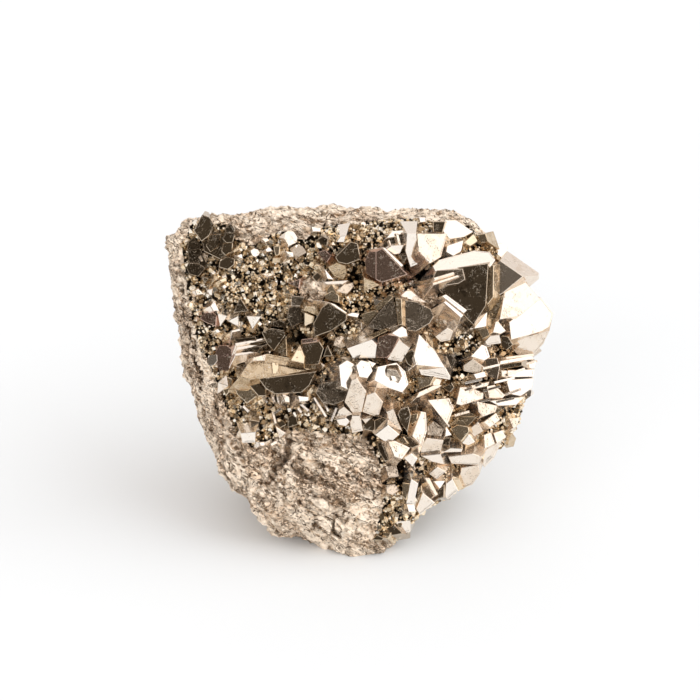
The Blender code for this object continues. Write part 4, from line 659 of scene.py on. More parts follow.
BRASSY_ROWS = (
    ("up", 3.4, (-24.4, 0.9), (-22.9, 3.2), (-21.6, 4.9), (-18.8, 5.6), (-13.5, 4.6), (-9.2, 2.4),
     (-9.3, 1.9), (-22.3, 0.3)),
    ("rise", 3.7, (-17.9, 3.8), (-16.5, 3.8), (-16.4, 1.5), (-17.7, 1.4)),
    ("rise", 1.5, (-29.7, 21.3), (-28.8, 21.4), (-28.6, 20.7), (-29.7, 20.2)),
    ("rise", 1.5, (-28.6, 20.4), (-27.2, 21.1), (-27.0, 20.4), (-28.1, 20.0)),
    ("rise", 1.6, (-25.8, 26.3), (-24.4, 27.7), (-24.5, 26.7), (-25.4, 26.1)),
    ("down", 1.3, (-17.6, 24.9), (-16.0, 24.9), (-16.2, 24.0), (-17.8, 23.8)),
    ("viewer", 1.4, (-17.5, 27.2), (-16.2, 27.4), (-16.4, 25.6), (-17.1, 25.4)),
    ("down", 2.0, (-4.7, 24.0), (-6.5, 23.1), (-5.4, 21.3), (-3.4, 20.4), (-2.7, 21.8), (-2.9, 23.4)),
    ("down", 2.6, (0.8, 20.8), (2.8, 20.2), (4.0, 19.4), (0.8, 18.1)),
    ("rise", 1.9, (21.0, 28.0), (23.0, 29.8), (23.9, 28.4), (22.4, 27.4)),
    ("left", 2.1, (23.8, 29.6), (25.4, 29.9), (26.0, 28.2), (24.4, 28.0)),
    ("rise", 1.8, (25.6, 29.6), (27.7, 28.2), (26.6, 27.4), (25.8, 27.6)),
    ("down", 2.4, (-11.5, 14.3), (-11.0, 15.2), (-9.2, 15.0), (-7.9, 13.4), (-8.5, 13.2)),
    ("down", 2.2, (-11.2, 13.9), (-9.2, 13.0), (-9.4, 11.9), (-11.2, 11.0)),
    ("down", 2.0, (-12.1, 10.8), (-10.1, 10.7), (-10.3, 10.1), (-12.1, 10.1)),
    ("left", 2.8, (0.3, 13.5), (2.7, 14.3), (3.7, 14.1), (1.4, 11.1), (0.5, 12.1)),
    ("left", 3.6, (2.7, 14.8), (5.9, 17.5), (6.8, 17.1), (3.6, 14.1)),
    ("left", 4.1, (7.2, 16.8), (8.4, 16.6), (8.6, 11.4), (7.7, 11.4)),
    ("left", 5.1, (22.7, 23.2), (23.9, 23.2), (23.6, 14.2), (23.0, 13.8)),
    ("left", 4.4, (25.9, 23.7), (27.1, 23.4), (27.0, 17.0), (25.6, 15.2)),
    ("left", 2.6, (26.1, 15.2), (28.9, 17.4), (28.3, 13.4), (26.6, 9.6), (25.3, 10.0)),
    ("left", 2.6, (23.8, 10.6), (25.8, 10.6), (26.3, 9.3), (24.8, 8.6)),
    ("left", 2.8, (-25.5, -1.2), (-24.6, 0.1), (-22.8, 0.0), (-21.0, -3.1), (-22.9, -4.5),
     (-24.8, -2.8)),
    ("down", 3.0, (-25.0, 0.9), (-22.6, 1.5), (-22.5, 0.2), (-24.6, 0.2)),
    ("rise", 2.8, (-12.1, 7.5), (-11.2, 5.0), (-11.3, 3.6), (-14.0, 4.2)),
    ("left", 2.0, (-17.4, 5.9), (-15.0, 9.1), (-14.8, 5.0)),
    ("left", 1.4, (-27.9, 1.1), (-25.9, 0.4), (-25.9, -1.4), (-27.2, -3.0), (-28.2, -0.9)),
    ("left", 3.7, (-2.4, 7.0), (1.6, 9.2), (5.0, 10.6), (5.6, 10.2), (2.4, 8.6)),
    ("left", 2.6, (13.0, 9.5), (14.6, 8.6), (14.9, 6.3)),
    ("left", 2.8, (11.5, 0.8), (14.9, 0.7), (14.2, -0.8), (12.0, -1.7)),
    ("left", 3.2, (10.4, -6.8), (11.7, -6.6), (11.5, -8.1), (10.4, -8.8)),
    ("left", 3.0, (7.0, -12.0), (8.8, -11.3), (9.7, -12.6), (8.6, -12.9)),
    ("left", 3.4, (18.2, -9.7), (19.8, -8.9), (21.9, -9.3), (22.1, -10.2), (20.4, -12.3)),
    ("left", 3.0, (18.0, -8.9), (20.0, -7.2), (23.6, -7.3), (21.9, -9.1)),
    ("viewer", 2.6, (19.0, -7.6), (20.4, -5.6), (23.5, -7.0)),
    ("left", 2.4, (8.6, -20.6), (10.0, -20.8), (9.4, -24.1), (8.6, -23.4)),
    ("left", 2.2, (11.7, -21.8), (12.5, -21.1), (12.4, -22.6), (11.4, -25.0)),
    ("down", 1.9, (18.7, -19.3), (20.1, -19.8), (21.0, -21.9), (19.9, -22.2)),
    ("left", 1.6, (4.6, -30.6), (6.3, -30.8), (5.6, -32.0), (4.8, -31.7)),
    ("left", 1.6, (-7.3, 17.3), (-5.6, 18.3), (-4.3, 17.3), (-4.3, 15.9), (-5.4, 16.1), (-7.0, 16.6)),
)
PLUM_ROWS = (
    ("left", 1.5, (-32.4, 12.6), (-31.6, 13.8), (-29.9, 14.0), (-29.1, 13.3), (-29.2, 11.1),
     (-31.1, 11.8)),
    ("left", 1.8, (-8.5, 26.1), (-7.0, 26.5), (-5.9, 25.4), (-6.7, 24.1), (-7.8, 24.9)),
    ("viewer", 3.9, (3.2, 26.2), (4.4, 26.8), (9.6, 21.6), (4.4, 20.0), (3.2, 20.6)),
    ("left", 3.6, (1.9, 26.2), (3.2, 26.2), (3.2, 20.6), (1.3, 21.7), (1.0, 24.2)),
    ("left", 2.0, (-29.3, 5.9), (-28.6, 7.2), (-27.0, 7.2), (-25.8, 6.3), (-25.8, 3.6), (-27.0, 1.8),
     (-28.5, 1.9), (-29.3, 3.8)),
    ("left", 3.4, (3.7, 8.9), (6.0, 9.7), (7.9, 8.6), (7.5, 6.8), (5.4, 4.7), (3.3, 4.8)),
    ("left", 1.2, (-14.5, 19.8), (-12.1, 20.7), (-12.4, 18.7)),
    ("left", 2.8, (-11.9, 8.4), (-8.8, 8.8), (-8.7, 8.0), (-11.8, 7.6)),
)
print(len(ETCHED_ROWS), "etched,", len(BRASSY_ROWS), "brassy,", len(PLUM_ROWS), "plum")

# %% [markdown]
# ## Growing a crystal
# A large crystal starts as a cube, flattened into a slab whose front lies on the facet's own plane.
# Bisect then cuts it along each side of the outline, leaning a little outwards so that the crystal
# widens towards the rock. Its edges get a narrow bevel, because real edges are never sharp and a bevel
# catches a thin bright line. Last, the facet gets growth steps: pyrite grows in flat layers, and the
# last ones never cover the whole facet.

# %% Helpers that turn and bevel a crystal and grow its steps
# Each facing: how much it looks to the right and up on the sheet.
FACINGS = {
    "viewer": (-0.01, 0.04),
    "left": (-0.25, -0.02),
    "right": (0.33, 0.14),
    "rise": (0.27, 0.30),
    "up": (0.14, 0.42),
    "down": (0.02, -0.38),
}
ROOT_DEPTH = 2.6 * MM
SIDE_LEAN = math.radians(12)
SIDE_LEAN_SPREAD = math.radians(6)
EDGE_BEVEL = 0.09 * MM
FINE_BEVEL = 0.05 * MM
BEVEL_ANGLE = math.radians(20)
SAME_WAY = 0.999
STEP_COUNTS = (0, 1, 1, 2, 3)
STEP_AREA = 4 * MM * MM
STEP_WIDTHS = (0.10, 0.35)
STEP_SLIDE = 0.08
STEP_RISE = 0.08 * MM
STEP_RISES = (0.4, 1.4)

crystal_skin = skin_of(rock)
chance = random.Random(5)
look = random.Random(8)


def crystal_axes(facing_u, facing_v, turn):
    """A crystal's own axes: z the way that it faces, x turned from the sheet's u."""
    out = math.sqrt(max(0.0, 1 - facing_u**2 - facing_v**2))
    z = SHEET_AXES @ Vector((facing_u, facing_v, out))
    x = (RIGHT - z * RIGHT.dot(z)).normalized()
    x = Matrix.Rotation(math.radians(turn), 3, z) @ x
    return Matrix((x, z.cross(x), z)).transposed()


def bevel_edges(piece, width):
    """Give the sharp edges a narrow bevel."""
    bevel = piece.modifiers.new("Worn edges", "BEVEL")
    bevel.width = width
    bevel.segments = 1
    bevel.limit_method = "ANGLE"
    bevel.angle_limit = BEVEL_ANGLE
    apply_modifiers(piece)


def keep_shade(piece):
    """One random number for the whole crystal, which its material turns into more or less tarnish."""
    value = look.random()
    shade = piece.data.attributes.new("shade", "FLOAT", "FACE")
    for mark in shade.data:
        mark.value = value


def select_front(mesh, normal):
    """Select the mesh's largest face along the normal, and say how large it is."""
    bpy.ops.mesh.select_all(action="DESELECT")
    edit = bmesh.from_edit_mesh(mesh)
    facing = [face for face in edit.faces if face.normal.dot(normal) > SAME_WAY]
    if not facing:
        return 0.0
    front = max(facing, key=lambda face: face.calc_area())
    front.select = True
    edit.faces.active = front
    bmesh.update_edit_mesh(mesh)
    return front.calc_area()


def grow_steps(piece, normal, layers):
    """Layers on a facet, each smaller than the last and off its middle."""
    for _ in range(layers):
        if select_front(piece.data, normal) < STEP_AREA:
            return
        bpy.ops.mesh.inset(thickness=look.uniform(*STEP_WIDTHS) * MM, depth=0)
        slide = normal.orthogonal().normalized()
        slide.rotate(Matrix.Rotation(look.uniform(0, 2 * math.pi), 3, normal))
        bpy.ops.transform.translate(value=slide * look.uniform(0, STEP_SLIDE) * MM)
        bpy.ops.mesh.extrude_region_move(
            TRANSFORM_OT_translate={"value": -normal * STEP_RISE * look.uniform(*STEP_RISES)})


print("growing helpers ready")

# %% Grow the large crystals
def leaning_sides(rim, front, facing):
    """A plane through each side of the outline, leaning outwards towards the rock."""
    for corner, following in zip(rim, rim[1:] + rim[:1]):
        outward = (following - corner).cross(facing).normalized()
        if outward.dot(corner - front) < 0:
            outward.negate()
        lean = SIDE_LEAN + chance.uniform(-1, 1) * SIDE_LEAN_SPREAD
        yield corner, outward * math.cos(lean) + facing * math.sin(lean)


def grow_crystal(row):
    """A slab behind the facet of the row, cut along each side of the facet's outline."""
    word, stand, *corners = row
    middle_u = sum(u for u, v in corners) / len(corners)
    middle_v = sum(v for u, v in corners) / len(corners)
    hit, ray = drop_onto(crystal_skin, middle_u, middle_v)
    front = hit - ray * stand * MM
    axes = crystal_axes(*FACINGS[word], 0)
    facing = axes.col[2].copy()
    rim = [intersect_line_plane(LAYOUT_POINT, sheet_point(u, v), front, facing) for u, v in corners]
    depth = stand * MM + ROOT_DEPTH
    widening = depth * math.tan(SIDE_LEAN + SIDE_LEAN_SPREAD)
    reach = 2 * (max((corner - front).length for corner in rim) + widening)
    bpy.ops.object.select_all(action="DESELECT")
    bpy.ops.mesh.primitive_cube_add(
        size=1, location=front - facing * depth / 2, rotation=axes.to_euler(), scale=(reach, reach, depth))
    crystal = bpy.context.object
    settle(crystal)
    cut_along(leaning_sides(rim, front, facing), CUT_TOLERANCE)
    bevel_edges(crystal, EDGE_BEVEL)
    bpy.ops.object.mode_set(mode="EDIT")
    grow_steps(crystal, facing, look.choice(STEP_COUNTS))
    bpy.ops.object.mode_set(mode="OBJECT")
    keep_shade(crystal)
    return crystal


crystals = {
    finish: [grow_crystal(row) for row in rows]
    for finish, rows in (
        ("silver", LIT_SILVER_ROWS), ("smoky", SHADED_SMOKY_ROWS), ("etched", ETCHED_ROWS),
        ("brassy", BRASSY_ROWS), ("plum", PLUM_ROWS))
}
print(sum(len(grown) for grown in crystals.values()), "large crystals grown")

# %% [markdown]
# ## Changes to the large crystals
# A few places need more than their rows can say. Two low plates behind the smoky crystals at the
# upper left draw them together into one dark group; they take the smoky finish, partly painted shade.
# The large dark crystal gets two bright stripes. One smoky crystal at the right edge catches the
# light, so it joins the silver ones and takes their paler colour, a painted highlight. It is told by
# its place in the rows, counted from 0.

# %% Add plates and stripes, and change one finish
PLATE_ROWS = (
    ("viewer", 1.2, (-32.4, 31.1), (-27.3, 32.3), (-25.3, 30.1), (-25.6, 25.8), (-28.3, 24.7),
     (-31.6, 26.3)),
    ("viewer", 1.1, (-34.9, 26.5), (-32.4, 26.8), (-31.1, 24.0), (-31.6, 22.0), (-34.4, 23.0)),
)
STRIPE_ROWS = (
    ("rise", 5.4, (14.6, 19.9), (19.8, 21.5), (20.2, 21.2), (14.8, 19.4)),
    ("rise", 5.4, (14.9, 20.9), (19.0, 22.1), (19.2, 21.7), (15.1, 20.4)),
)
BRIGHT_EDGE_CRYSTAL = 16

# This crystal takes the paler silver colour because it catches the light: painted highlight.
crystals["silver"].append(crystals["smoky"].pop(BRIGHT_EDGE_CRYSTAL))
crystals["smoky"] += [grow_crystal(row) for row in PLATE_ROWS]
crystals["silver"] += [grow_crystal(row) for row in STRIPE_ROWS]
print(len(PLATE_ROWS), "plates and", len(STRIPE_ROWS), "stripes added")

# %% [markdown]
# ## Thin blades
# Below the brassy slab and on the right, some crystals grew as thin blades that show their edge. Each
# is a cube stretched between two points.

# %% Grow the blades
# Each row: u and v of one end, u and v of the other, and how far the blade stands off the rock.
BLADES = (
    (-20.2, -3.4, -19.1, -5.0, 2.4), (-18.6, -2.3, -17.9, -4.5, 2.4), (-17.4, -2.7, -17.0, -4.8, 2.4),
    (-9.8, -3.7, -7.4, -7.6, 2.4), (-8.3, -3.9, -6.9, -6.6, 2.4), (-5.2, -5.3, -6.3, -8.0, 2.4),
    (-18.2, -6.6, -17.6, -9.0, 2.4), (-17.2, -6.3, -15.7, -5.4, 2.4), (-14.0, -6.6, -13.5, -7.5, 2.4),
    (-13.0, -5.9, -12.3, -6.8, 2.4), (-12.1, -5.4, -10.5, -6.8, 2.4), (-24.1, -5.4, -22.9, -6.6, 2.4),
    (28.4, 4.3, 34.0, 5.0, 3.2), (30.9, 2.7, 34.4, 3.6, 3.4), (28.9, 1.0, 32.4, 2.2, 3.3),
    (26.3, -0.6, 30.4, 0.4, 3.4), (24.8, -2.1, 28.3, -1.1, 3.5), (20.8, -0.6, 24.3, 0.2, 3.4),
    (28.3, -3.1, 32.0, -1.8, 3.3), (21.3, -1.8, 24.3, -0.6, 3.4), (27.3, -4.4, 31.0, -3.6, 3.4),
    (24.0, 2.2, 27.4, 3.0, 3.3), (22.4, -4.6, 26.0, -3.8, 3.3), (18.4, -7.2, 21.4, -6.4, 3.3),
)
BLADE_WIDTH = 0.5
BLADE_DEPTH = 4.0


def finish_small(crystal):
    """Settle a small crystal, bevel its edges and give it its shade."""
    settle(crystal)
    bevel_edges(crystal, FINE_BEVEL)
    keep_shade(crystal)
    return crystal


def grow_blade(row):
    """A thin crystal between two points, that shows its edge."""
    u, v, far_u, far_v, stand = row
    start = drop_onto(crystal_skin, u, v)[0]
    end = drop_onto(crystal_skin, far_u, far_v)[0]
    facing = crystal_axes(*FACINGS["right"], 0).col[2]
    along = (end - start).normalized()
    across = facing.cross(along).normalized()
    turned = Matrix((along, across, along.cross(across))).transposed()
    middle = (start + end) / 2 + OUT * (stand - BLADE_DEPTH / 2) * MM
    length = (end - start).length
    bpy.ops.object.select_all(action="DESELECT")
    bpy.ops.mesh.primitive_cube_add(
        size=1, location=middle, rotation=turned.to_euler(),
        scale=(length, BLADE_WIDTH * MM, BLADE_DEPTH * MM))
    return finish_small(bpy.context.object)


crystals["silver"] += [grow_blade(row) for row in BLADES]
print(len(BLADES), "blades grown")

# %% [markdown]
# ## Small crystals between them
# The gaps are filled with smaller crystals, two or three millimetres across, turned every way. They
# are scattered at random, but with a seed, so that they fall in the same places each time. Afterwards
# all the crystals of one finish are joined into one piece.

# %% Scatter the small crystals
SMALL_COUNT = 64
SMALL_SIZES = (1.6, 3.0)
SMALL_SPACING = 1.9
SMALL_STAND = 0.35
SMALL_DEPTH = 1.4
SMALL_TILT = 0.5
SMALL_FORMS = ("tri", "block", "point")
SMALL_FINISHES = ("silver", "silver", "etched", "brassy", "smoky")
CRUST_HALF_WIDTH = 37
CRUST_HALF_HEIGHT = 30.5


def small_rows():
    """Rows of place, size, form, facing and turn, scattered at random over the crust."""
    scatter = random.Random(11)
    rows = []
    while len(rows) < SMALL_COUNT:
        u = scatter.uniform(-CRUST_HALF_WIDTH, CRUST_HALF_WIDTH)
        v = scatter.uniform(-CRUST_HALF_HEIGHT, CRUST_HALF_HEIGHT)
        crowded = any(math.dist((u, v), row[:2]) < SMALL_SPACING for row in rows)
        if is_bare(u, v) or crowded or not inside_outline(u, v):
            continue
        size = scatter.uniform(*SMALL_SIZES)
        form = scatter.choice(SMALL_FORMS)
        facing_u = scatter.uniform(-SMALL_TILT, SMALL_TILT)
        facing_v = scatter.uniform(-SMALL_TILT, SMALL_TILT)
        rows.append((u, v, size, form, facing_u, facing_v, scatter.uniform(0, 360)))
    return rows


def grow_small_crystal(row):
    """A copy of one of the three shapes, placed, turned and stretched."""
    u, v, size, form, facing_u, facing_v, turn = row
    hit, ray = drop_onto(crystal_skin, u, v)
    axes = crystal_axes(facing_u, facing_v, turn)
    depth = SMALL_DEPTH * size
    middle = hit - ray * SMALL_STAND * size * MM - axes.col[2] * depth / 2 * MM
    stretch = Matrix.Diagonal(Vector((size, size, depth)) * MM).to_4x4()
    crystal = shapes[form].copy()
    crystal.data = shapes[form].data.copy()
    bpy.context.scene.collection.objects.link(crystal)
    crystal.matrix_world = Matrix.Translation(middle) @ axes.to_4x4() @ stretch
    return finish_small(crystal)


for row in small_rows():
    finish = look.choice(SMALL_FINISHES)
    crystals[finish].append(grow_small_crystal(row))
print(SMALL_COUNT, "small crystals scattered")

# %% Join the crystals of each finish
pieces = {"bare_rock": rock}
for finish, grown in crystals.items():
    select_only(*grown)
    bpy.ops.object.join()
    joined = bpy.context.object
    joined.name = finish + "_crystals"
    keep_in_box(joined)
    pieces[joined.name] = joined
print({name: len(piece.data.polygons) for name, piece in pieces.items()})

# %% [markdown]
# ## Helpers for nodes
# Geometry nodes and material nodes are wired in the same way, so the same helpers serve for both. An
# input gets either a link or a plain value, and a new node gets its settings and inputs in one line.

# %% Helpers that add and link nodes
def link(tree, source, target):
    """Link a node's output to an input, or type a plain value into the input."""
    if isinstance(source, bpy.types.NodeSocket):
        tree.links.new(source, target)
    else:
        target.default_value = source


def fill_inputs(tree, inputs, values):
    """Fill several inputs, each told by its name or number."""
    for label, value in values.items():
        link(tree, value, inputs[label])


def add_node(tree, kind, values=None, **settings):
    """Add a node, choose its settings and fill its inputs."""
    node = tree.nodes.new(kind)
    for name, setting in settings.items():
        setattr(node, name, setting)
    fill_inputs(tree, node.inputs, values or {})
    return node


print("node helpers ready")

# %% [markdown]
# ## The fine crust
# Everything that is left of the front is covered with crystals of about a millimetre. There are
# thousands, so they are not placed one by one: Geometry Nodes scatters points over the painted part
# of the rock, puts one of the three shapes on each and turns it a little at random. Each crystal also
# keeps a random number called shade, which its material turns into more or less tarnish.

# %% Scatter the fine crust with Geometry Nodes
GRAIN_SPACING = 0.45 * MM
GRAINS_PER_AREA = 3.8 / (MM * MM)
GRAIN_SIZES = (0.36 * MM, 1.05 * MM)
GRAIN_TURNS = ((-0.7, -0.7, 0), (0.7, 0.7, 6.28))
SHADE_SEED = 3


def fine_crust_nodes():
    tree = bpy.data.node_groups.new("Fine crust", "GeometryNodeTree")
    tree.interface.new_socket("Rock", in_out="INPUT", socket_type="NodeSocketGeometry")
    tree.interface.new_socket("Crust", in_out="OUTPUT", socket_type="NodeSocketGeometry")
    given = add_node(tree, "NodeGroupInput")
    painted = add_node(tree, "GeometryNodeInputNamedAttribute", {"Name": "crust"}, data_type="FLOAT")
    scatter = add_node(
        tree, "GeometryNodeDistributePointsOnFaces",
        {"Mesh": given.outputs[0], "Distance Min": GRAIN_SPACING, "Density Max": GRAINS_PER_AREA,
         "Density Factor": painted.outputs["Attribute"]},
        distribute_method="POISSON")
    gathered = add_node(tree, "GeometryNodeJoinGeometry")
    for shape in reversed(shapes.values()):
        source = add_node(tree, "GeometryNodeObjectInfo", {"Object": shape, "As Instance": True})
        link(tree, source.outputs["Geometry"], gathered.inputs[0])
    tilt = add_node(
        tree, "FunctionNodeRandomValue", dict(enumerate(GRAIN_TURNS)), data_type="FLOAT_VECTOR")
    turned = add_node(
        tree, "FunctionNodeRotateRotation", {0: scatter.outputs["Rotation"], 1: tilt.outputs[0]},
        rotation_space="LOCAL")
    size = add_node(
        tree, "FunctionNodeRandomValue", dict(enumerate(GRAIN_SIZES, 2)), data_type="FLOAT")
    placed = add_node(
        tree, "GeometryNodeInstanceOnPoints",
        {"Points": scatter.outputs["Points"], "Instance": gathered.outputs[0], "Pick Instance": True,
         "Rotation": turned.outputs[0], "Scale": size.outputs[1]})
    shade = add_node(tree, "FunctionNodeRandomValue", {"Seed": SHADE_SEED}, data_type="FLOAT")
    kept = add_node(
        tree, "GeometryNodeStoreNamedAttribute",
        {"Geometry": placed.outputs[0], "Name": "shade", "Value": shade.outputs[1]},
        data_type="FLOAT", domain="INSTANCE")
    solid = add_node(tree, "GeometryNodeRealizeInstances", {0: kept.outputs[0]})
    add_node(tree, "NodeGroupOutput", {0: solid.outputs[0]})
    return tree


select_only(rock)
bpy.ops.object.duplicate()
fine_crust = bpy.context.object
fine_crust.name = "fine_crust"
grow = fine_crust.modifiers.new("Grow", "NODES")
grow.node_group = fine_crust_nodes()
apply_modifiers(fine_crust)
keep_in_box(fine_crust)
pieces["fine_crust"] = fine_crust
for shape in shapes.values():
    bpy.data.objects.remove(shape, do_unlink=True)
for name, piece in pieces.items():
    piece.data.calc_loop_triangles()
    print(name, "has", len(piece.data.loop_triangles), "triangles")

# %% [markdown]
# ## A map for the facets
# The fine lines on a pyrite facet run along one of its edges. Each facet therefore gets a small map
# of its own, flat on the facet, with its first axis along the facet's longest edge.

# %% Lay a map on each facet
MAP_UNIT = 10 * MM


def lay_facet_map(mesh):
    facets = mesh.uv_layers.new(name="UVMap")
    for polygon in mesh.polygons:
        corners = [mesh.vertices[index].co for index in polygon.vertices]
        sides = [end - start for start, end in zip(corners, corners[1:] + corners[:1])]
        along = max(sides, key=lambda side: side.length).normalized()
        across = polygon.normal.cross(along)
        for loop, corner in zip(polygon.loop_indices, corners):
            facets.data[loop].uv = (corner.dot(along) / MAP_UNIT, corner.dot(across) / MAP_UNIT)


for name, piece in pieces.items():
    if name.endswith("_crystals"):
        lay_facet_map(piece.data)
print("facet maps laid")

# %% [markdown]
# ## Shared effects
# The larger effects are node groups with named inputs: the grain of the broken rock, the growth lines
# on facets, the pits of etched facets and the patches of tarnish. The last three serve all five
# finishes. Thin winding lines are fissures in the rock and scratches on a facet, so one helper draws
# both. Groups give only colours, masks and heights. The shader itself stays in each material.

# %% Helpers for building node groups
SOCKETS = {"value": "NodeSocketFloat", "vector": "NodeSocketVector", "colour": "NodeSocketColor"}
# A mix node numbers its sockets for colours like this.
MIX_FACTOR, MIX_FIRST, MIX_SECOND, MIX_RESULT = 0, 6, 7, 2
HALF_WAY = (0.5, 0.5, 0.5)
FISSURE_WINDING = 1.2
FISSURE_CORE = 0.3


def new_group(name, inputs, outputs):
    """An empty node group with named sockets, and the sockets inside its two ends."""
    group = bpy.data.node_groups.new(name, "ShaderNodeTree")
    for way, sockets in (("INPUT", inputs), ("OUTPUT", outputs)):
        for label, kind in sockets.items():
            group.interface.new_socket(label, in_out=way, socket_type=SOCKETS[kind])
    return group, add_node(group, "NodeGroupInput").outputs, add_node(group, "NodeGroupOutput").inputs


def add_math(tree, operation, *values):
    """The result of a sum on the values, which may be numbers or outputs."""
    return add_node(tree, "ShaderNodeMath", dict(enumerate(values)), operation=operation).outputs[0]


def add_shares(tree, total, *parts):
    """Add a share of each part to a total."""
    for part, share in parts:
        total = add_math(tree, "MULTIPLY_ADD", part, share, total)
    return total


def add_vector_math(tree, operation, *values):
    node = add_node(tree, "ShaderNodeVectorMath", dict(enumerate(values)), operation=operation)
    return node.outputs["Value" if operation == "DOT_PRODUCT" else "Vector"]


def add_noise(tree, place, scale, detail=3.0, roughness=0.6, distortion=0.0):
    return add_node(tree, "ShaderNodeTexNoise", {
        "Vector": place, "Scale": scale, "Detail": detail, "Roughness": roughness,
        "Distortion": distortion}).outputs["Fac"]


def add_cells(tree, place, scale):
    """Cells about scattered points: the distance to the point, its place, and a colour per cell."""
    return add_node(tree, "ShaderNodeTexVoronoi", {"Vector": place, "Scale": scale}).outputs


def split_colour(tree, colour):
    """The three channels of a colour. For a cell's own colour they are three random numbers."""
    return add_node(tree, "ShaderNodeSeparateColor", {0: colour}).outputs


def add_range(tree, value, low, high, to_low=0.0, to_high=1.0):
    """Turn values between low and high softly into values between to_low and to_high."""
    limits = dict(enumerate((value, low, high, to_low, to_high)))
    return add_node(tree, "ShaderNodeMapRange", limits, interpolation_type="SMOOTHSTEP").outputs[0]


def add_cover(tree, patches, cover, edge):
    """A mask of the patches: more of them the larger the cover, with a soft edge."""
    reach = add_math(tree, "SUBTRACT", 1.0, cover)
    return add_range(tree, patches, reach, add_math(tree, "ADD", reach, edge))


def add_mix(tree, factor, first, second):
    """Mix two colours: the first where the factor is 0, the second where it is 1."""
    inputs = {MIX_FACTOR: factor, MIX_FIRST: first, MIX_SECOND: second}
    return add_node(tree, "ShaderNodeMix", inputs, data_type="RGBA").outputs[MIX_RESULT]


def add_fissures(tree, place, scale, width):
    """Thin winding lines, where a distorted noise passes through its middle value."""
    noise = add_noise(tree, place, scale, detail=4.0, distortion=FISSURE_WINDING)
    away = add_math(tree, "ABSOLUTE", add_math(tree, "SUBTRACT", noise, 0.5))
    return add_range(tree, away, width * FISSURE_CORE, width, 1.0, 0.0)


print("group helpers ready")

# %% The grain of broken rock
# Scales are in cells or waves per millimetre.
LARGE_GRAINS = 1.5
SMALL_GRAINS = 3.6
PATCHES_SCALE = 0.22
PITS_SCALE = 2.4
LONG_FISSURES = {"scale": 0.26, "width": 0.018}
FINE_FISSURES = {"scale": 0.9, "width": 0.040}
# Shares of the height: the tops of large and of small grains, the fissures and the gaps.
HEIGHT_SHARES = (1.8, 0.9, -0.7, -0.35)


def add_grains(group, place, scale):
    """Cells that each have a colour of their own, and a flat top that leans its own way."""
    cells = add_cells(group, place, scale)
    across = add_vector_math(group, "SUBTRACT", place, cells["Position"])
    leaning = add_vector_math(group, "SUBTRACT", cells["Color"], HALF_WAY)
    top = add_vector_math(group, "DOT_PRODUCT", across, leaning)
    draws = split_colour(group, cells["Color"])
    return top, draws[0], draws[1], cells["Distance"]


def make_rock_grain():
    """Grains of half a millimetre and less, light and dark, with fissures and pits between them."""
    group, given, made = new_group(
        "Rock grain", {"Place": "vector"},
        {"Height": "value", "Tone": "value", "Fissures": "value", "Glint": "value", "Patches": "value"})
    place = given["Place"]
    large_top, large_tone, large_glint, gap = add_grains(group, place, LARGE_GRAINS)
    small_top, small_tone, *_ = add_grains(group, place, SMALL_GRAINS)
    broken = add_range(group, add_noise(group, place, PATCHES_SCALE), 0.47, 0.61)
    fine = add_math(group, "MULTIPLY", add_fissures(group, place, **FINE_FISSURES), broken)
    fissures = add_math(group, "MAXIMUM", add_fissures(group, place, **LONG_FISSURES), fine)
    spots = add_range(
        group, add_noise(group, place, PITS_SCALE, detail=4.0, roughness=0.75), 0.61, 0.66)
    spots = add_math(group, "MULTIPLY", spots, add_range(group, broken, 0.0, 1.0, 0.35, 0.90))
    fissures = add_math(group, "MAXIMUM", fissures, spots)
    fill_inputs(group, made, {
        "Height": add_shares(group, 0.0, *zip((large_top, small_top, fissures, gap), HEIGHT_SHARES)),
        "Tone": add_shares(group, 0.0, (large_tone, 0.5), (small_tone, 0.5)),
        "Fissures": fissures,
        "Glint": add_range(group, large_glint, 0.61, 0.64),
        "Patches": broken})
    return group


rock_grain = make_rock_grain()
print("group", rock_grain.name)

# %% The growth lines, the etched pits and the tarnish
WAVE_SCALE = 3.0
PIT_PATCHES_SCALE = 0.55
PIT_PATCHES_EDGE = 0.10
PIT_DEPTHS = (0.15, 0.5)
TARNISH_EDGE = 0.16


def make_growth_lines():
    """Fine uneven lines along a facet's longest edge."""
    group, given, made = new_group(
        "Growth lines", {"Facet": "vector", "Lines": "value", "Waviness": "value"}, {"Height": "value"})
    waves = add_noise(group, given["Facet"], WAVE_SCALE, detail=2.0, roughness=0.5)
    shares = add_node(group, "ShaderNodeSeparateXYZ", {0: given["Facet"]}).outputs
    across = add_math(group, "MULTIPLY_ADD", waves, given["Waviness"], shares[1])
    across = add_math(group, "MULTIPLY", across, given["Lines"])
    line_up = add_node(group, "ShaderNodeCombineXYZ", {1: across}).outputs[0]
    link(group, add_noise(group, line_up, 1.0), made["Height"])
    return group


def make_etched_pits():
    """Small pits in patches, with raised rims."""
    group, given, made = new_group(
        "Etched pits", {"Place": "vector", "Cover": "value", "Scale": "value"},
        {"Height": "value", "Mask": "value"})
    patches = add_noise(group, given["Place"], PIT_PATCHES_SCALE)
    mask = add_cover(group, patches, given["Cover"], PIT_PATCHES_EDGE)
    pits = add_range(group, add_cells(group, given["Place"], given["Scale"])["Distance"], *PIT_DEPTHS)
    fill_inputs(group, made, {"Height": add_math(group, "MULTIPLY", pits, mask), "Mask": mask})
    return group


def make_tarnish():
    """Patches where one colour turns to another."""
    group, given, made = new_group(
        "Tarnish", {"Place": "vector", "Clean": "colour", "Tarnished": "colour", "Cover": "value",
                    "Scale": "value"},
        {"Color": "colour"})
    patches = add_noise(group, given["Place"], given["Scale"], detail=4.0)
    mask = add_cover(group, patches, given["Cover"], TARNISH_EDGE)
    link(group, add_mix(group, mask, given["Clean"], given["Tarnished"]), made["Color"])
    return group


growth_lines = make_growth_lines()
etched_pits = make_etched_pits()
tarnish = make_tarnish()
print("groups", growth_lines.name, etched_pits.name, tarnish.name)
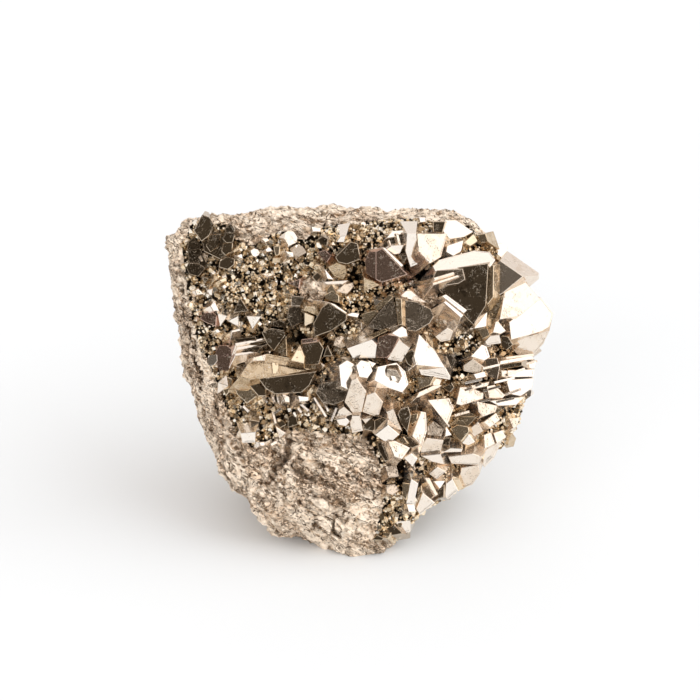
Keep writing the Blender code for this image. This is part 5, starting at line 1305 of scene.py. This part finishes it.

# %% [markdown]
# ## The materials
# Clean pyrite is a metal with a pale, slightly warm mirror, so its material is metallic with low
# roughness, and its colour is the tint of its reflections. The silver finish is paler than real
# pyrite, for crystals that mirror the light: partly painted highlight. Smoky facets are darker for
# crystals that face the viewer, partly a thin tarnish and partly painted shade. Plum facets carry a
# thin tarnish, etched ones are pitted, and brassy ones are a deeper yellow. The broken rock is the same
# mineral as grains too small to mirror anything: it is matte, with glints. Its fissures and pits, and
# the rock under the crust, are painted dark as painted shade.

# %% Helpers for the materials
MM_PER_METRE = 1000


def start_material(name):
    """A new material, its tree and shader, and two kinds of place: in millimetres, and on a facet."""
    material = bpy.data.materials.new(name)
    material.use_nodes = True
    tree = material.node_tree
    coordinates = add_node(tree, "ShaderNodeTexCoord").outputs
    place = add_node(
        tree, "ShaderNodeMapping", {"Vector": coordinates["Object"], "Scale": (MM_PER_METRE,) * 3})
    return material, tree, tree.nodes["Principled BSDF"].inputs, place.outputs[0], coordinates["UV"]


def add_group(tree, group, values):
    return add_node(tree, "ShaderNodeGroup", values, node_tree=group).outputs


def read_attribute(tree, name):
    return add_node(tree, "ShaderNodeAttribute", attribute_name=name).outputs["Fac"]


def vary(tree, shade, middle, width):
    """Spread the crystals' shades, from 0 to 1, evenly about a middle value."""
    return add_math(tree, "MULTIPLY_ADD", shade, width, middle - width / 2)


def add_bump(tree, height, strength, distance):
    inputs = {"Strength": strength, "Distance": distance, "Height": height}
    return add_node(tree, "ShaderNodeBump", inputs).outputs[0]


print("material helpers ready")

# %% The finishes of the large crystals
LINES_PER_UNIT = 70.0
LINE_WAVINESS = 0.02
PIT_SCALE = 2.4
PIT_VARIATION = 0.24
TARNISH_SCALE = 0.45
TARNISH_VARIATION = 0.30
WORN_SCALE = 0.5
SCRATCHES = {"scale": 0.42, "width": 0.010}
FLECK_SCALE = 6.0
MOTTLE_SCALE = 1.6
MOST_DULL = 0.65
PIT_STAIN = 0.75
PIT_HEIGHT = 0.55
MOTTLE_HEIGHT = 0.16
PIT_ROUGHNESS = 0.06
FLECK_ROUGHNESS = 0.34
SCRATCH_ROUGHNESS = 0.40
FACET_RELIEF = 0.06 * MM
BARE_METAL = (0.95, 0.85, 0.72, 1)
# Each row: clean and tarnished colour, cover of tarnish, roughness, depth of the growth lines, cover of
# pits, share of dull flecks and how metallic it is.
FINISHES = {
    # Silver: pyrite made paler for crystals that mirror the light, partly painted highlight.
    "silver": ((0.94, 0.86, 0.77, 1), (0.80, 0.67, 0.54, 1), 0.42, 0.12, 0.30, 0.40, 0.02, 0.95),
    # Smoky: pyrite made darker for crystals that face the viewer, partly tarnish, partly painted shade.
    "smoky": ((0.58, 0.47, 0.35, 1), (0.22, 0.17, 0.12, 1), 0.46, 0.13, 0.26, 0.46, 0.06, 1.0),
    "etched": ((0.66, 0.55, 0.44, 1), (0.24, 0.19, 0.14, 1), 0.48, 0.15, 0.44, 0.52, 0.12, 0.97),
    "brassy": ((0.84, 0.69, 0.50, 1), (0.50, 0.37, 0.23, 1), 0.44, 0.18, 0.22, 0.46, 0.06, 0.95),
    "plum": ((0.64, 0.46, 0.38, 1), (0.34, 0.21, 0.17, 1), 0.48, 0.18, 0.24, 0.46, 0.08, 0.97),
}


def facet_material(name, clean, tarnished, cover, roughness, lines, pits, fleck_share, metal):
    """A metallic facet with growth lines, tarnished and pitted in patches, scratched and flecked."""
    material, tree, shader, place, facet = start_material(name)
    shade = read_attribute(tree, "shade")
    growth = add_group(tree, growth_lines, {
        "Facet": facet, "Lines": LINES_PER_UNIT, "Waviness": LINE_WAVINESS})
    etching = add_group(tree, etched_pits, {
        "Place": place, "Scale": PIT_SCALE, "Cover": vary(tree, shade, pits, PIT_VARIATION)})
    patched = add_group(tree, tarnish, {
        "Place": place, "Scale": TARNISH_SCALE, "Cover": vary(tree, shade, cover, TARNISH_VARIATION),
        "Clean": clean, "Tarnished": tarnished})
    worn = add_range(
        tree, add_noise(tree, place, WORN_SCALE, detail=2.0, roughness=0.5), 0.44, 0.58)
    scratches = add_math(tree, "MULTIPLY", add_fissures(tree, place, **SCRATCHES), worn)
    stain = add_math(tree, "MULTIPLY", etching["Height"], PIT_STAIN)
    colour = add_mix(tree, stain, patched["Color"], tarnished)
    colour = add_mix(tree, add_range(tree, shade, 0.2, 1.0, 0.0, MOST_DULL), colour, tarnished)
    draws = split_colour(tree, add_cells(tree, place, FLECK_SCALE)["Color"])
    flecks = add_range(tree, draws[0], 1.0 - fleck_share, 1.01 - fleck_share)
    flecks = add_math(tree, "MULTIPLY", flecks, worn)
    height = add_shares(
        tree, 0.0, (growth["Height"], lines), (etching["Height"], PIT_HEIGHT),
        (add_noise(tree, place, MOTTLE_SCALE), MOTTLE_HEIGHT))
    fill_inputs(tree, shader, {
        "Base Color": add_mix(tree, scratches, colour, BARE_METAL),
        "Metallic": metal,
        "Roughness": add_shares(
            tree, roughness, (etching["Mask"], PIT_ROUGHNESS), (flecks, FLECK_ROUGHNESS),
            (scratches, SCRATCH_ROUGHNESS)),
        "Normal": add_bump(tree, height, 1.0, FACET_RELIEF)})
    return material


finishes = {
    finish + "_crystals": facet_material(finish + " pyrite", *values)
    for finish, values in FINISHES.items()
}
print(len(finishes), "facet materials")

# %% The fine crust and the bare rock
CRUST_TINTS = ((0.27, 0.18, 0.095, 1), (0.98, 0.80, 0.56, 1), (1.0, 0.94, 0.84, 1))
CRUST_METAL = 0.96
CRUST_ROUGHNESS = (0.10, 0.28)
CRUST_RELIEF = 0.1 * MM
DUST_SCALE = 3.0
# How metallic and how rough the rock is, from its dull grains to its glinting ones.
ROCK_METAL = (0.08, 0.95)
ROCK_ROUGHNESS = (0.60, 0.28)
ROCK_RELIEF = 0.8 * MM
GRAIN_STRETCH = (1.8, 1, 0.9)
CALM_LIGHT = (1.0, 0.86, 0.70, 1)
CALM_DARK = (0.90, 0.71, 0.53, 1)
BROKEN_LIGHT = (1.0, 0.80, 0.61, 1)
BROKEN_DARK = (0.66, 0.47, 0.31, 1)
# Painted shade: the dark colour of the rock's fissures and pits.
FISSURE_PAINTED_SHADE = (0.15, 0.09, 0.045, 1)
# Painted shade: the rock under the crust is painted near black between the crystals.
PAINTED_SHADE_UNDER_CRUST = (0.02, 0.013, 0.007, 1)


def crust_material():
    material, tree, shader, place, _ = start_material("fine crust")
    tint = add_node(tree, "ShaderNodeValToRGB", {0: read_attribute(tree, "shade")})
    stops = tint.color_ramp.elements
    stops.new(0.5)
    for stop, colour in zip(stops, CRUST_TINTS):
        stop.color = colour
    dust = add_noise(tree, place, DUST_SCALE)
    fill_inputs(tree, shader, {
        "Base Color": tint.outputs[0],
        "Metallic": CRUST_METAL,
        "Roughness": add_range(tree, dust, 0.3, 0.7, *CRUST_ROUGHNESS),
        "Normal": add_bump(tree, dust, 0.5, CRUST_RELIEF)})
    return material


def rock_material():
    material, tree, shader, place, _ = start_material("broken rock")
    streaked = add_node(
        tree, "ShaderNodeMapping",
        {"Vector": place, "Rotation": (0, STREAK_TURN, 0), "Scale": GRAIN_STRETCH}, vector_type="TEXTURE")
    grain = add_group(tree, rock_grain, {"Place": streaked.outputs[0]})
    light = add_mix(tree, grain["Patches"], CALM_LIGHT, BROKEN_LIGHT)
    dark = add_mix(tree, grain["Patches"], CALM_DARK, BROKEN_DARK)
    speckle = add_range(tree, grain["Tone"], 0.20, 0.55)
    calm = add_range(tree, grain["Patches"], 0.0, 1.0, 0.60, 0.0)
    stone = add_mix(tree, add_math(tree, "MAXIMUM", speckle, calm), dark, light)
    # The fissures and pits are painted dark, as painted shade in the rock's cracks.
    stone = add_mix(tree, grain["Fissures"], stone, FISSURE_PAINTED_SHADE)
    # Where the crust is, the rock is painted near black: painted shade between the crystals.
    painted_shade_under_crust = add_range(tree, read_attribute(tree, "crust"), 0.05, 0.20)
    shine = add_math(tree, "MAXIMUM", grain["Glint"], painted_shade_under_crust)
    fill_inputs(tree, shader, {
        "Base Color": add_mix(tree, painted_shade_under_crust, stone, PAINTED_SHADE_UNDER_CRUST),
        "Metallic": add_range(tree, shine, 0.0, 1.0, *ROCK_METAL),
        "Roughness": add_range(tree, shine, 0.0, 1.0, *ROCK_ROUGHNESS),
        "Normal": add_bump(tree, grain["Height"], 1.0, ROCK_RELIEF)})
    return material


finishes["fine_crust"] = crust_material()
finishes["bare_rock"] = rock_material()
for name, piece in pieces.items():
    piece.data.materials.clear()
    piece.data.materials.append(finishes[name])
print(len(finishes), "materials in use")

# %% [markdown]
# ## Putting the pieces together
# All the pieces are shifted together so that the specimen's box stands over the origin, as the solid
# model does. Each then rides on the frame's one body, stands for its one node and takes its finish.

# %% Move everything over the origin
for name, piece in pieces.items():
    piece.location = FOOTPRINT_SHIFT
    settle(piece)
    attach(piece, "root")
    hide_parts("pyrite_specimen")
print(len(pieces), "pieces ride on the frame")

# %% [markdown]
# ## The camera
# The camera looks down along the sheet's own normal, from the point that the crystals were laid out
# from. A long lens keeps the perspective calm, and a small shift frames the specimen.

# %% Place the camera
SENSOR_WIDTH = 36
LENS_LENGTH = 100
PICTURE_SIDE = 700
SHIFT_PIXELS = (-10, 31)

camera = bpy.data.objects.new("camera", bpy.data.cameras.new("camera"))
bpy.context.scene.collection.objects.link(camera)
camera.location = LAYOUT_POINT + FOOTPRINT_SHIFT
camera.rotation_euler = (math.radians(90) - SHEET_LEAN, 0, 0)
camera.data.sensor_width = SENSOR_WIDTH
camera.data.lens = LENS_LENGTH
camera.data.shift_x = SHIFT_PIXELS[0] / PICTURE_SIDE
camera.data.shift_y = SHIFT_PIXELS[1] / PICTURE_SIDE
bpy.context.scene.camera = camera
print("the camera stands at", [round(value, 3) for value in camera.location])

# %% [markdown]
# ## The floor and the light
# Mirrors show what stands around them, so most of the light is in the surroundings: a white room,
# very bright on the right and above, and dark behind the viewer. Facets that look at the dark side
# turn dark, those that look right or up turn white, and those that look down mirror the white floor.
# The dark side is there for the mirrors only. Two wide lamps light the matt rock and the floor: a
# window on the right, which gives the shadow on the left, and a lamp from the front.

# %% Lay the floor
FLOOR_SIDE = 8
PAPER_SCALE = 0.02
PAPER_TINTS = ((0.75, 0.770, 0.781, 1), (0.76, 0.780, 0.791, 1))

bpy.ops.object.select_all(action="DESELECT")
bpy.ops.mesh.primitive_plane_add(size=FLOOR_SIDE)
floor = bpy.context.object
floor.name = "floor"
paper, tree, shader, place, _ = start_material("white paper")
fill_inputs(tree, shader, {
    "Base Color": add_mix(
        tree, add_noise(tree, place, PAPER_SCALE, detail=2.0, roughness=0.5), *PAPER_TINTS),
    "Roughness": 0.9,
    "Specular IOR Level": 0.1})
floor.data.materials.append(paper)
print("floor laid")

# %% Light the room
ROOM_WHITE = 0.885
ROOM_TINT = (1.0, 0.957, 0.935)
BRIGHT_MORE = 0.70
BRIGHT_SIDE = (0.80, -0.50, 0.42)
FRONT_LEFT_SIDE = (-0.55, -0.78, 0.30)
DARK_COLOUR = (0.08, 0.067, 0.052, 1)

world = bpy.data.worlds.new("studio")
bpy.context.scene.world = world
world.use_nodes = True
room = world.node_tree
direction = add_node(room, "ShaderNodeTexCoord").outputs["Generated"]


def near_side(side, begins, full):
    """A mask of the directions near this side, from where it begins to where it is full."""
    agreement = add_vector_math(room, "DOT_PRODUCT", direction, Vector(side).normalized())
    return add_range(room, agreement, begins, full)


level = add_shares(room, ROOM_WHITE, (near_side(BRIGHT_SIDE, 0.45, 0.95), BRIGHT_MORE))
channels = [add_math(room, "MULTIPLY", level, share) for share in ROOM_TINT]
white = add_node(room, "ShaderNodeCombineColor", dict(enumerate(channels))).outputs[0]
dark = add_math(room, "MAXIMUM", near_side(OUT, 0.78, 0.87), near_side(FRONT_LEFT_SIDE, 0.72, 0.86))
in_mirrors = add_node(room, "ShaderNodeLightPath").outputs["Is Glossy Ray"]
dark = add_math(room, "MULTIPLY", dark, in_mirrors)
link(room, add_mix(room, dark, white, DARK_COLOUR), room.nodes["Background"].inputs["Color"])
bpy.context.scene.view_settings.view_transform = "Standard"
print("room lit")

# %% Hang two lamps
# Each row: name, the side that it hangs on, strength, width in degrees and colour.
LAMPS = (
    ("window", (0.85, -0.10, 0.62), 1.25, 60, (0.86, 0.94, 1.0)),
    ("front", (-0.35, -0.95, 0.04), 2.2, 80, (1.0, 0.96, 0.92)),
)

for name, side, strength, width, colour in LAMPS:
    lamp = bpy.data.objects.new(name, bpy.data.lights.new(name, "SUN"))
    bpy.context.scene.collection.objects.link(lamp)
    lamp.rotation_euler = Vector(side).to_track_quat("Z", "Y").to_euler()
    lamp.data.energy = strength
    lamp.data.angle = math.radians(width)
    lamp.data.color = colour
    lamp.visible_glossy = False
print(len(LAMPS), "lamps hung, kept out of the mirrors")
